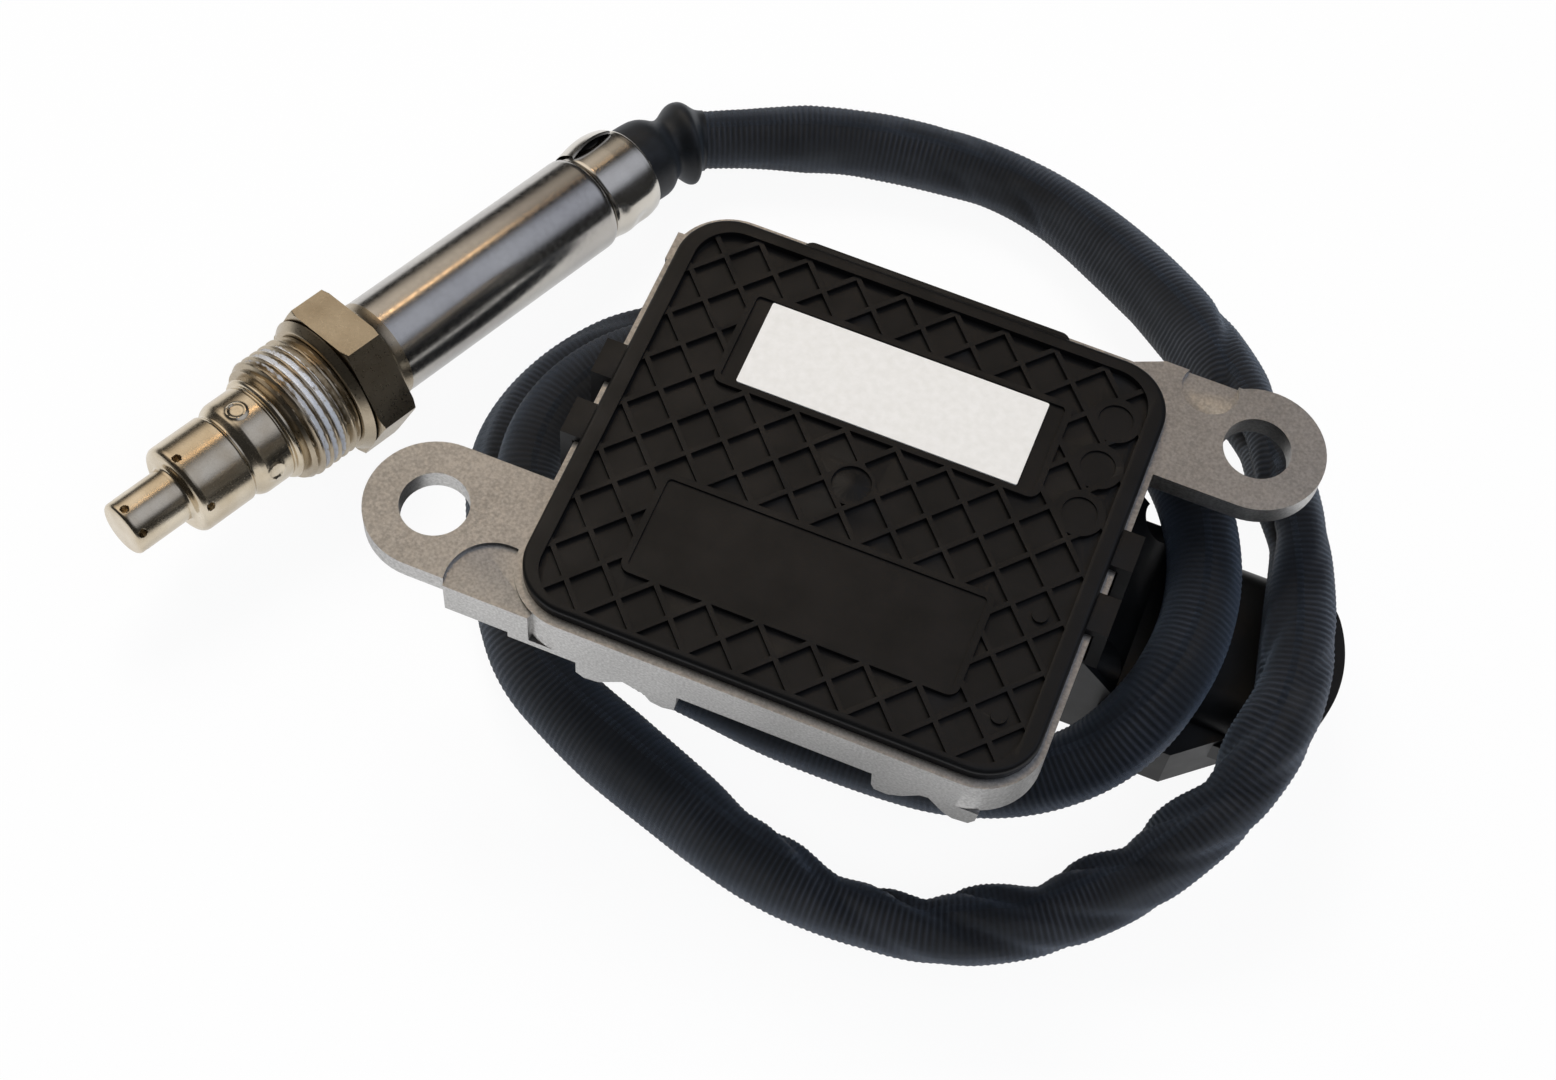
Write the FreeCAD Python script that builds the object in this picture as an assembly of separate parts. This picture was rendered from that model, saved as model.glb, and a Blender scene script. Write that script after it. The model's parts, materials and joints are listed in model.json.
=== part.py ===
import FreeCAD, Part
import math
import os

# Nitrogen oxide sensor for an exhaust line: a probe that screws into the pipe, a sleeved cable and a
# control unit with two fastening ears. Millimetres, +Z up through the cover.
# Origin: axis of the left ear's hole, at the seat face under the ear.
# +X runs along the control unit towards its plug, +Y to its back.

V = FreeCAD.Vector
X = V(1, 0, 0)
Y = V(0, 1, 0)
Z = V(0, 0, 1)

# Control unit: ears and rim of the casting
HOLE_SPAN_X = 100.0
HOLE_SPAN_Y = 53.0
EAR_HOLE_R = 4.8
EAR_R = 9.7
EAR_THICK = 3.4
EAR_ROOT = 16.0
EAR_BACK_SET = 1.2
EAR_SLANT = 4.2
LEFT_PAD_OUT_X = 1.05
LEFT_PAD_IN_Y = 2.2
LEFT_PAD_R = 6.5
RIGHT_PAD_IN_X = 8.9
RIGHT_PAD_IN_Y = 6.6
RIGHT_PAD_R = 4.1
PAD_DROP = 0.7
RIM_X = 74.7
RIM_Y = 70.0
RIM_SHIFT_X = 0.5
RIM_SHIFT_Y = -1.9
RIM_R = 9.0
RIM_DEPTH = 7.2
RIM_WALL = 4.6
CAST_WALL = 2.2

# Control unit: tub under the rim, shallow at the left, deep at the right
TUB_FRONT_SET = 21.8
TUB_BACK_SET = 4.4
TUB_LEFT_SET = 6.85
TUB_RIGHT_SET = 7.85
SHELF_LENGTH = 14.0
SHELF_DEPTH = 3.7
TUB_DEPTH = 17.7
TUB_R = 6.0
TUB_INNER_R = 1.6
TUB_EDGE_R = 2.0

# Lugs under the front wall, as distance from the rim's left side and drop below the rim
LUG_THICK = 5.0
LUGS = (
    ((2.0, 0), (2.0, 1.3), (11.9, 1.3), (11.9, 4.2), (13.1, 5.1), (15.2, 4.7), (18.7, 1.7),
     (21.8, 2.9), (22.8, 4.5), (24.5, 4.9), (26.2, 4.3), (26.5, 1.4), (26.5, 0)),
    ((54.3, 0), (54.5, 3.3), (55.0, 4.5), (56.9, 4.6), (58.9, 3.3), (61.1, 1.0), (62.3, 0.7),
     (64.6, 3.4), (66.0, 4.2), (68.2, 3.8), (69.0, 2.3), (69.2, 0)),
)
LAND_OUT = 0.3
LAND_DEPTH = 3.0
LAND_BACK_SET = 5.7
LAND_LENGTH = 4.9

# Cover
COVER_X = 72.7
COVER_Y = 67.3
COVER_R = 8.0
COVER_THICK = 2.0
COVER_EDGE_R = 0.7
RECESS_X = 67.5
RECESS_Y = 64.0
RECESS_SHIFT_Y = -0.5
RECESS_R = 5.8
RECESS_DEPTH = 1.2
RIB_DROP = 0.4
PLUG_DEPTH = 1.6
RIB_WIDTH = 0.75
RIB_PITCH_X = 7.42
RIB_PITCH_Y = 7.98
RIB_SHIFT_Y = 3.5
TAB_LENGTH = 40.1
TAB_REACH = 0.8
TAB_R = 1.5

# Snap hooks of the cover
HOOK_WIDTH = 5.9
HOOK_SPREAD = 10.4
HOOK_REACH = 2.1
HOOK_LEG = 1.8
HOOK_LIP = 1.0
HOOK_GAP = 0.2

# Raised frames and round marks on the cover, from the cover's centre
FRAME_X = 47.8
FRAME_Y = 16.3
FRAME_WALL = 0.95
FRAME_R = 1.6
LABEL_SHIFT_X = 0.1
LABEL_SHIFT_Y = 15.7
LABEL_FLOOR = 0.4
LABEL_X = 41.2
LABEL_Y = 14.0
LABEL_THICK = 0.3
BLANK_SHIFT_X = 0.0
BLANK_SHIFT_Y = -16.4
BLANK_FLOOR = 0.3
MARK_R = 3.6
MARK_WALL = 1.15
MARK_FLOOR = 0.3
MARKS = ((30.0, 23.8), (30.0, 15.9), (30.0, 8.0))
PIN_MARK_R = 1.1
PIN_MARK_DROP = 0.3
PIN_MARKS = ((30.1, -8.6), (29.9, -24.6))
GATE_R = 3.3
GATE_WALL = 0.5
GATE_TIP_R = 0.5
GATE_RISE = 0.5
GATE_SHIFT_Y = -0.2

# Seal under the cover
SEAL_WIDTH = 1.6
SEAL_DEPTH = 1.4
SEAL_INSET = 1.7

# Circuit board and what it carries
BOARD_GAP = 1.8
BOARD_THICK = 1.6
BOARD_DROP = 8.4
BOARD_R = 2.0
POST_R = 2.8
POST_INSET = 3.4
SCREW_R = 1.2
SCREW_HEAD_R = 2.3
SCREW_HEAD = 1.6
SCREW_BITE = 2.0
PROCESSOR = (14.0, 14.0, 1.4)
DRIVER = (5.0, 6.2, 1.6)
COIL = (7.0, 7.0, 3.2)
CAPACITOR_R = 3.1
CAPACITOR_HEIGHT = 5.2
FIT = 0.2

# Plug housing at the right of the tub
PLUG_BACK_SET = 18.7
FLANGE_Y = 30.0
FLANGE_Z = 15.4
FLANGE_THICK = 3.0
FLANGE_TOP_GAP = 1.7
GASKET = 1.0
NECK_FRONT = 15.5
NECK_BACK = 13.0
NECK_TOP_GAP = 7.0
NECK_LENGTH = 1.5
SLOPE_LENGTH = 8.0
SHROUD_SET = 4.5
SHROUD_X = 25.0
SHROUD_Y = 26.0
SHROUD_Z = 14.8
SHROUD_R = 4.5
SHROUD_WALL = 2.0
MOUTH_R = 20.0
MOUTH_SHIFT_Y = -1.5
SHOULDER_Z = 10.5
SHOULDER_DROP = 6.0
SHOULDER_BACK = 6.0
SHOULDER_FRONT = 6.0
SHOULDER_REACH = 13.0
SOCKET_DEPTH = 20.0
PIN_COUNT = 5
PIN_PITCH = 3.2
PIN_WIDTH = 1.0
PIN_REACH = 11.0
WINDOW_Y = 15.6
WINDOW_Z = 7.0
WINDOW_DROP = 12.9
PLUG_SCREW_R = 1.45
PLUG_SCREW_HEAD_R = 2.4
PLUG_SCREW_HEAD = 2.0
PLUG_SCREW_SPREAD_Y = 24.0
PLUG_SCREW_SPREAD_Z = 7.6
PLUG_SCREW_BITE = 4.0
PLUG_BOSS_R = 3.0
LATCH = (8.0, 1.6, 4.0)

# Cable gland in the step of the tub
GLAND_BACK_SET = 8.0
GLAND_SHIFT_Z = 0.1
GLAND_MARGIN = 0.8
GLAND_FLANGE = 3.0
GLAND_SEAT = 2.2
GLAND_HOLD = 0.5
GLAND_LIP = 1.4
LEAD_R = 0.8
LEAD_RING = 2.4
LEAD_COUNT = 6
LEAD_RUN = 12.0
LEAD_STAGGER = 1.5

# Cable: section and route, as x, y and height above the floor
FLOOR_DROP = 13.0
CABLE_R = 5.5
ARC_SHARE = 0.45
CABLE_LEAVE = 11.3
ROUTE = [
    (9.8, 41.4, 19.0),
    (4.0, 31.5, 17.8),
    (4.0, 20.0, 17.1),
    (9.8, 10.2, 16.5),
    (19.6, 4.6, 13.4),
    (31.0, 3.5, 9.0),
    (42.5, 3.1, 6.4),
    (54.0, 2.5, 5.7),
    (65.5, 2.6, 5.8),
    (76.5, 3.4, 6.6),
    (87.0, 6.2, 10.4),
    (95.4, 11.8, 16.2),
    (100.0, 20.8, 21.0),
    (101.3, 32.4, 21.9),
    (98.9, 44.2, 21.9),
    (92.6, 55.2, 21.0),
    (83.6, 62.8, 18.6),
    (70.5, 64.4, 15.0),
    (51.0, 63.4, 9.6),
    (31.0, 62.0, 6.2),
    (14.4, 57.8, 5.7),
    (3.2, 49.4, 5.6),
    (-2.8, 37.4, 5.6),
    (-3.0, 24.6, 5.6),
    (3.6, 12.0, 5.6),
    (12.6, -2.6, 5.6),
    (27.0, -9.2, 5.6),
    (44.0, -14.8, 5.6),
    (59.9, -18.9, 5.6),
    (78.2, -19.1, 5.8),
    (93.2, -12.2, 6.2),
    (104.4, -2.0, 9.0),
    (112.2, 8.8, 16.2),
    (115.7, 20.6, 21.3),
    (115.3, 33.0, 22.0),
    (111.8, 45.2, 22.0),
    (106.1, 58.4, 20.4),
    (97.2, 72.1, 16.8),
    (84.8, 85.6, 12.4),
    (69.2, 97.2, 8.0),
    (51.8, 104.6, 5.9),
    (34.8, 104.3, 5.6),
    (17.8, 100.4, 5.7),
    (1.8, 92.4, 6.2),
]

# Probe: tip, direction and stations along its axis from the tip
TIP_X = -44.7
TIP_Y = -11.2
TIP_RISE = 16.3
HEADING = 67.46
TILT = -4.92
TIP_R = 4.25
TIP_LENGTH = 9.6
STAGE_R = 7.1
STAGE_LENGTH = 10.2
GROOVE_R = 6.7
GROOVE_WIDTH = 0.8
BASE_R = 7.7
BASE_LENGTH = 6.6
TUBE_WALL = 0.7
VENT_R = 0.9
GAS_HOLE_R = 0.75
TIP_HOLES = 4
TIP_HOLE_STATION = 3.4
STAGE_HOLES = 6
STAGE_HOLE_STATION = 3.2
THREAD_R = 10.0
THREAD_LENGTH = 9.1
THREAD_CHAMFER = 1.0
NECK_R = 8.8
WASHER_SPACE = 4.1
WASHER_LENGTH = 2.9
WASHER_R = 10.7
WASHER_FLARE = 0.9
HEX_FLATS = 22.0
HEX_LENGTH = 7.0
HEX_TURN = 13.1
HEX_CHAMFER = 0.9
COLLAR_R = 9.6
COLLAR_LENGTH = 2.7
COLLAR_CHAMFER = 0.9
FRONT_BORE_R = 5.4
FRONT_BORE = 1.6
LEDGE_R = 4.6
LEDGE = 1.2
CORE_BORE_R = 6.9
PACKING_GAP = 0.1

# Probe: sleeve, crimp collar and boot
SLEEVE_R = 7.9
SLEEVE_WALL = 0.6
SLEEVE_LENGTH = 43.0
SLEEVE_SEAT = 2.2
CRIMP_R = 7.5
CRIMP_LENGTH = 9.2
CRIMP_ENTRY = 5.0
CRIMP_WALL = 0.8
FLAT_DEPTH = 0.35
FLAT_LENGTH = 4.6
FLAT_WIDTH = 6.0
FLAT_TURN = 60.0
CLIP_WIDTH = 2.4
CLIP_THICK = 0.4
CLIP_TAB = 2.6
CLIP_TURN = -38.0
RIDGE_ONE_R = 6.3
RIDGE_TWO_R = 5.9
BOOT_WAIST_R = 4.8
BOOT_FRONT = 7.6
BOOT_REAR = 5.2
BOOT_RIDGE = 4.0

# Probe: inner pieces
INNER_TUBE_R = 3.2
INNER_TUBE_WALL = 0.4
INNER_TUBE_START = 2.0
INNER_FLANGE = 0.8
ELEMENT_WIDTH = 4.2
ELEMENT_THICK = 1.3
ELEMENT_START = 5.0
ELEMENT_END = 68.0
FRONT_INSULATOR = 5.8
TALC = 5.8
REAR_INSULATOR = 18.4
HOLDER_LENGTH = 19.6
HOLDER_CLEAR = 0.3
CONTACT_WIDTH = 0.9
CONTACT_THICK = 0.4
CONTACT_PITCH = 1.5
CONTACT_LENGTH = 21.0
PROBE_LEAD_R = 0.6
GROMMET_LENGTH = 11.8

# Levels and places that follow
EAR_TOP = EAR_THICK
RIM_BOTTOM = EAR_TOP - RIM_DEPTH
COVER_TOP = EAR_TOP + COVER_THICK
TUB_BOTTOM = RIM_BOTTOM - TUB_DEPTH
SHELF_BOTTOM = RIM_BOTTOM - SHELF_DEPTH
FLOOR = TUB_BOTTOM - FLOOR_DROP
CENTRE_X = HOLE_SPAN_X / 2 + RIM_SHIFT_X
CENTRE_Y = HOLE_SPAN_Y / 2 + RIM_SHIFT_Y
RIM_X0 = CENTRE_X - RIM_X / 2
RIM_X1 = CENTRE_X + RIM_X / 2
RIM_Y0 = CENTRE_Y - RIM_Y / 2
RIM_Y1 = CENTRE_Y + RIM_Y / 2
RIB_TOP = COVER_TOP - RIB_DROP
TUB_X0 = RIM_X0 + TUB_LEFT_SET
TUB_X1 = RIM_X1 - TUB_RIGHT_SET
TUB_Y0 = RIM_Y0 + TUB_FRONT_SET
TUB_Y1 = RIM_Y1 - TUB_BACK_SET
STEP_X = TUB_X0 + SHELF_LENGTH
BOARD_TOP = COVER_TOP - BOARD_DROP
BOARD_BOTTOM = BOARD_TOP - BOARD_THICK
BOARD_X0 = TUB_X0 + CAST_WALL + BOARD_GAP
BOARD_X1 = TUB_X1 - CAST_WALL - BOARD_GAP
BOARD_Y0 = TUB_Y0 + CAST_WALL + BOARD_GAP
BOARD_Y1 = TUB_Y1 - CAST_WALL - BOARD_GAP
WINDOW_Z1 = BOARD_TOP - WINDOW_DROP + WINDOW_Z
PIN_Z = WINDOW_Z1 - WINDOW_Z / 2
GLAND_X = STEP_X - GLAND_FLANGE
GLAND_Y = TUB_Y1 - GLAND_BACK_SET
GLAND_Z = (SHELF_BOTTOM + TUB_BOTTOM) / 2 + GLAND_SHIFT_Z
GLAND_FLANGE_R = (SHELF_BOTTOM - TUB_BOTTOM) / 2 - GLAND_MARGIN
GLAND_NECK_R = GLAND_FLANGE_R - GLAND_SEAT
GLAND_LIP_R = GLAND_NECK_R + GLAND_HOLD
PLUG_Y = TUB_Y1 - PLUG_BACK_SET
FLANGE_X = TUB_X1 + GASKET
NECK_X = FLANGE_X + FLANGE_THICK
SLOPE_X = NECK_X + NECK_LENGTH
SHROUD_X0 = SLOPE_X + SLOPE_LENGTH + SHROUD_SET
SHROUD_X1 = SHROUD_X0 + SHROUD_X
SHROUD_TOP = FLOOR + SHROUD_Z

STAGE_START = TIP_LENGTH
BASE_START = STAGE_START + STAGE_LENGTH
BODY_START = BASE_START + GROOVE_WIDTH + BASE_LENGTH
NECK_START = BODY_START + THREAD_LENGTH
HEX_START = NECK_START + WASHER_SPACE
HEX_END = HEX_START + HEX_LENGTH
BODY_END = HEX_END + COLLAR_LENGTH
SLEEVE_START = BODY_END - SLEEVE_SEAT
SLEEVE_END = BODY_END + SLEEVE_LENGTH
CRIMP_END = SLEEVE_END + CRIMP_LENGTH
LEDGE_START = BODY_START + FRONT_BORE
CORE_START = LEDGE_START + LEDGE
TALC_START = CORE_START + FRONT_INSULATOR
REAR_START = TALC_START + TALC
HOLDER_START = REAR_START + REAR_INSULATOR + FIT
HOLDER_END = HOLDER_START + HOLDER_LENGTH
CONTACT_START = HOLDER_START + FIT
CONTACT_END = CONTACT_START + CONTACT_LENGTH
GROMMET_START = CRIMP_END - GROMMET_LENGTH
CORE_R = CORE_BORE_R - PACKING_GAP
CRIMP_BORE_R = SLEEVE_R - SLEEVE_WALL - CRIMP_WALL


def box(x0, x1, y0, y1, z0, z1):
    """Box between two corners."""
    return Part.makeBox(x1 - x0, y1 - y0, z1 - z0, V(x0, y0, z0))


def rod(x, y, z0, z1, r):
    """Upright cylinder between two heights."""
    return Part.makeCylinder(r, z1 - z0, V(x, y, z0), Z)


def rod_x(x0, x1, y, z, r):
    """Cylinder along X."""
    return Part.makeCylinder(r, x1 - x0, V(x0, y, z), X)


def rounded_wire(x0, x1, y0, y1, z, r):
    """Rectangle with round corners at one height."""
    corners = (
        (x1 - r, y0 + r, -90),
        (x1 - r, y1 - r, 0),
        (x0 + r, y1 - r, 90),
        (x0 + r, y0 + r, 180),
    )
    arcs = []
    for cx, cy, start in corners:
        circle = Part.Circle(V(cx, cy, z), Z, r)
        arcs.append(circle.toShape(math.radians(start), math.radians(start + 90)))
    edges = []
    for i, arc in enumerate(arcs):
        follower = arcs[(i + 1) % len(arcs)]
        edges.append(arc)
        edges.append(Part.makeLine(arc.Vertexes[-1].Point, follower.Vertexes[0].Point))
    return Part.Wire(edges)


def rounded_box(x0, x1, y0, y1, z0, z1, r):
    """Upright prism on a rectangle with round corners."""
    return Part.Face(rounded_wire(x0, x1, y0, y1, z0, r)).extrude(Z * (z1 - z0))


def centred_box(cx, cy, sx, sy, z0, z1, r):
    """Upright prism with round corners about a centre."""
    return rounded_box(cx - sx / 2, cx + sx / 2, cy - sy / 2, cy + sy / 2, z0, z1, r)


def fuse(shapes):
    """One shape from several, without the seams between them."""
    return shapes[0].multiFuse(shapes[1:]).removeSplitter()


def turned(profile):
    """Solid turned about the local Z axis from points (station, radius)."""
    points = [V(r, 0, s) for s, r in profile]
    points.append(points[0])
    return Part.Face(Part.makePolygon(points)).revolve(V(0, 0, 0), Z, 360)


def pipe(start, end, r_out, r_in):
    """Tube along the local Z axis."""
    return turned(((start, r_in), (start, r_out), (end, r_out), (end, r_in)))


def round_edges(shape, radius, chosen):
    """Fillet the edges for which chosen(edge) is true."""
    return shape.makeFillet(radius, [e for e in shape.Edges if chosen(e)])


def level_edge(z):
    """Test for an edge that lies wholly at one height."""
    def test(edge):
        return all(abs(v.Point.z - z) < 1e-6 for v in edge.Vertexes)
    return test


def prism(points, z0, z1):
    """Upright prism on a polygon given as (x, y) points."""
    corners = [V(x, y, z0) for x, y in points]
    return Part.Face(Part.makePolygon(corners + corners[:1])).extrude(Z * (z1 - z0))


def posts():
    """Centres of the circuit board's four posts."""
    for x in (BOARD_X0 + POST_INSET, BOARD_X1 - POST_INSET):
        for y in (BOARD_Y0 + POST_INSET, BOARD_Y1 - POST_INSET):
            yield x, y


def plug_screws():
    """Centres of the plug housing's four screws, in the plane of the tub's wall."""
    middle_z = RIM_BOTTOM - FLANGE_TOP_GAP - FLANGE_Z / 2
    for side_y in (-0.5, 0.5):
        for side_z in (-0.5, 0.5):
            yield PLUG_Y + side_y * PLUG_SCREW_SPREAD_Y, middle_z + side_z * PLUG_SCREW_SPREAD_Z


def make_left_ear():
    """Left ear with its round end and the sunk round pad, which the rim's front plane cuts."""
    ear = box(0, EAR_ROOT, -EAR_R, EAR_R, 0, EAR_TOP).fuse(rod(0, 0, 0, EAR_TOP, EAR_R))
    x = RIM_X0 - LEFT_PAD_OUT_X
    y = RIM_Y0 + LEFT_PAD_IN_Y
    pad = rod(x, y, RIM_BOTTOM, EAR_TOP, LEFT_PAD_R)
    pad = pad.common(box(x - LEFT_PAD_R, x + LEFT_PAD_R, RIM_Y0, y + LEFT_PAD_R, RIM_BOTTOM, EAR_TOP))
    return ear.fuse(pad).cut(rod(x, y, EAR_TOP - PAD_DROP, EAR_TOP, LEFT_PAD_R))


def make_right_ear():
    """Right ear, joined to the rim's back by a slanted web, with a small sunk round pad."""
    back = HOLE_SPAN_Y + EAR_R - EAR_BACK_SET
    root = HOLE_SPAN_X - EAR_ROOT
    plate = prism((
        (root, HOLE_SPAN_Y - EAR_R),
        (HOLE_SPAN_X, HOLE_SPAN_Y - EAR_R),
        (HOLE_SPAN_X, back),
        (root, back),
        (root - EAR_SLANT, RIM_Y1),
        (root - EAR_SLANT, RIM_Y1 - RIM_WALL / 2),
    ), 0, EAR_TOP)
    ear = plate.fuse(rod(HOLE_SPAN_X, HOLE_SPAN_Y, 0, EAR_TOP, EAR_R))
    return ear.cut(rod(HOLE_SPAN_X - RIGHT_PAD_IN_X, HOLE_SPAN_Y + RIGHT_PAD_IN_Y,
                       EAR_TOP - PAD_DROP, EAR_TOP, RIGHT_PAD_R))


def make_lug(outline):
    """Plate under the front wall, flush with it, on an outline of (distance, drop) points."""
    points = [V(RIM_X0 + x, RIM_Y0, RIM_BOTTOM - drop) for x, drop in outline]
    return Part.Face(Part.makePolygon(points + points[:1])).extrude(Y * LUG_THICK)


def make_tub_part(x0, x1, bottom):
    """One depth of the tub, with rounded corners and lower edges."""
    block = rounded_box(x0, x1, TUB_Y0, TUB_Y1, bottom, RIM_BOTTOM + CAST_WALL, TUB_R)
    return round_edges(block, TUB_EDGE_R, level_edge(bottom))


def make_housing():
    """Casting: rim, ears, stepped tub, front lugs, side land, board posts and bores."""
    solids = [rounded_box(RIM_X0, RIM_X1, RIM_Y0, RIM_Y1, RIM_BOTTOM, EAR_TOP, RIM_R)]
    solids.append(make_left_ear())
    solids.append(make_right_ear())
    solids.append(make_tub_part(TUB_X0, TUB_X1, SHELF_BOTTOM))
    solids.append(make_tub_part(STEP_X, TUB_X1, TUB_BOTTOM))
    land_y1 = RIM_Y1 - LAND_BACK_SET
    solids.append(box(RIM_X0 - LAND_OUT, RIM_X0 + LAND_DEPTH, land_y1 - LAND_LENGTH, land_y1,
                      RIM_BOTTOM, EAR_TOP))
    for outline in LUGS:
        solids.append(make_lug(outline))
    body = fuse(solids)

    cavity = [
        rim_opening(0, RIM_BOTTOM + CAST_WALL, EAR_TOP + 1),
        rounded_box(TUB_X0 + CAST_WALL, TUB_X1 - CAST_WALL, TUB_Y0 + CAST_WALL, TUB_Y1 - CAST_WALL,
                    SHELF_BOTTOM + CAST_WALL, EAR_TOP, TUB_INNER_R),
        rounded_box(STEP_X + CAST_WALL, TUB_X1 - CAST_WALL, TUB_Y0 + CAST_WALL, TUB_Y1 - CAST_WALL,
                    TUB_BOTTOM + CAST_WALL, EAR_TOP, TUB_INNER_R),
        make_groove(EAR_TOP + 1),
    ]
    body = body.cut(cavity)

    inner = []
    for x, y in posts():
        inner.append(rod(x, y, base_under(x), BOARD_BOTTOM, POST_R))
    for y, z in plug_screws():
        inner.append(rod_x(TUB_X1 - CAST_WALL - PLUG_SCREW_BITE, TUB_X1 - CAST_WALL / 2, y, z,
                           PLUG_BOSS_R))
    body = fuse([body] + inner)

    holes = [
        rod(0, 0, -1, EAR_TOP + 1, EAR_HOLE_R),
        rod(HOLE_SPAN_X, HOLE_SPAN_Y, -1, EAR_TOP + 1, EAR_HOLE_R),
    ]
    for x, y in posts():
        holes.append(rod(x, y, BOARD_BOTTOM - SCREW_BITE, BOARD_BOTTOM + 1, SCREW_R))
    for y, z in plug_screws():
        holes.append(rod_x(TUB_X1 - CAST_WALL - PLUG_SCREW_BITE, TUB_X1 + 1, y, z, PLUG_SCREW_R))
    holes.append(box(TUB_X1 - CAST_WALL - 1, TUB_X1 + 1, PLUG_Y - WINDOW_Y / 2,
                     PLUG_Y + WINDOW_Y / 2, WINDOW_Z1 - WINDOW_Z, WINDOW_Z1))
    holes.append(rod_x(STEP_X - 1, STEP_X + CAST_WALL + 1, GLAND_Y, GLAND_Z, GLAND_NECK_R))
    return body.cut(holes)


def base_under(x):
    """Height inside the tub's floor where a post at x is rooted."""
    bottom = SHELF_BOTTOM if x < STEP_X + POST_R else TUB_BOTTOM
    return bottom + CAST_WALL / 2


def make_groove(top):
    """Ring for the seal, in the top of the rim."""
    outer = SEAL_INSET
    inner = SEAL_INSET + SEAL_WIDTH
    ring = rounded_box(RIM_X0 + outer, RIM_X1 - outer, RIM_Y0 + outer + seal_set(),
                       RIM_Y1 - outer - seal_set(), EAR_TOP - SEAL_DEPTH, top, RIM_R - outer)
    hole = rounded_box(RIM_X0 + inner, RIM_X1 - inner, RIM_Y0 + inner + seal_set(),
                       RIM_Y1 - inner - seal_set(), EAR_TOP - SEAL_DEPTH, top, RIM_R - inner)
    return ring.cut(hole)


def seal_set():
    """How much further in the cover's front edge lies than its side edges."""
    return ((RIM_Y - COVER_Y) - (RIM_X - COVER_X)) / 2


def rim_opening(inset, z0, z1):
    """Prism that fills the rim's opening, less an inset all round."""
    wall_x = RIM_WALL + inset
    wall_y = wall_x + seal_set()
    return rounded_box(RIM_X0 + wall_x, RIM_X1 - wall_x, RIM_Y0 + wall_y, RIM_Y1 - wall_y,
                       z0, z1, RIM_R - wall_x)


def rib_bars(z0, z1):
    """Diagonal ribs both ways through a lattice of nodes, over the whole recess."""
    length = math.hypot(COVER_X, COVER_Y) + RIB_PITCH_X
    angle = math.degrees(math.atan2(RIB_PITCH_Y, RIB_PITCH_X))
    count = int(length / RIB_PITCH_X)
    bars = []
    for turn in (angle, -angle):
        for k in range(-count, count + 1):
            bar = box(-length / 2, length / 2, -RIB_WIDTH / 2, RIB_WIDTH / 2, z0, z1)
            bar.rotate(V(0, 0, 0), Z, turn)
            bar.translate(V(CENTRE_X + k * RIB_PITCH_X, CENTRE_Y + RIB_SHIFT_Y, 0))
            bars.append(bar)
    return bars


def recess_layer(z0, z1):
    """Prism over the cover's whole recess, between two heights."""
    return centred_box(CENTRE_X, CENTRE_Y + RECESS_SHIFT_Y, RECESS_X, RECESS_Y, z0, z1, RECESS_R)


def on_cover(places, z0, z1, r):
    """Upright cylinders at places given from the cover's centre."""
    return [rod(CENTRE_X + x, CENTRE_Y + y, z0, z1, r) for x, y in places]


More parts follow.
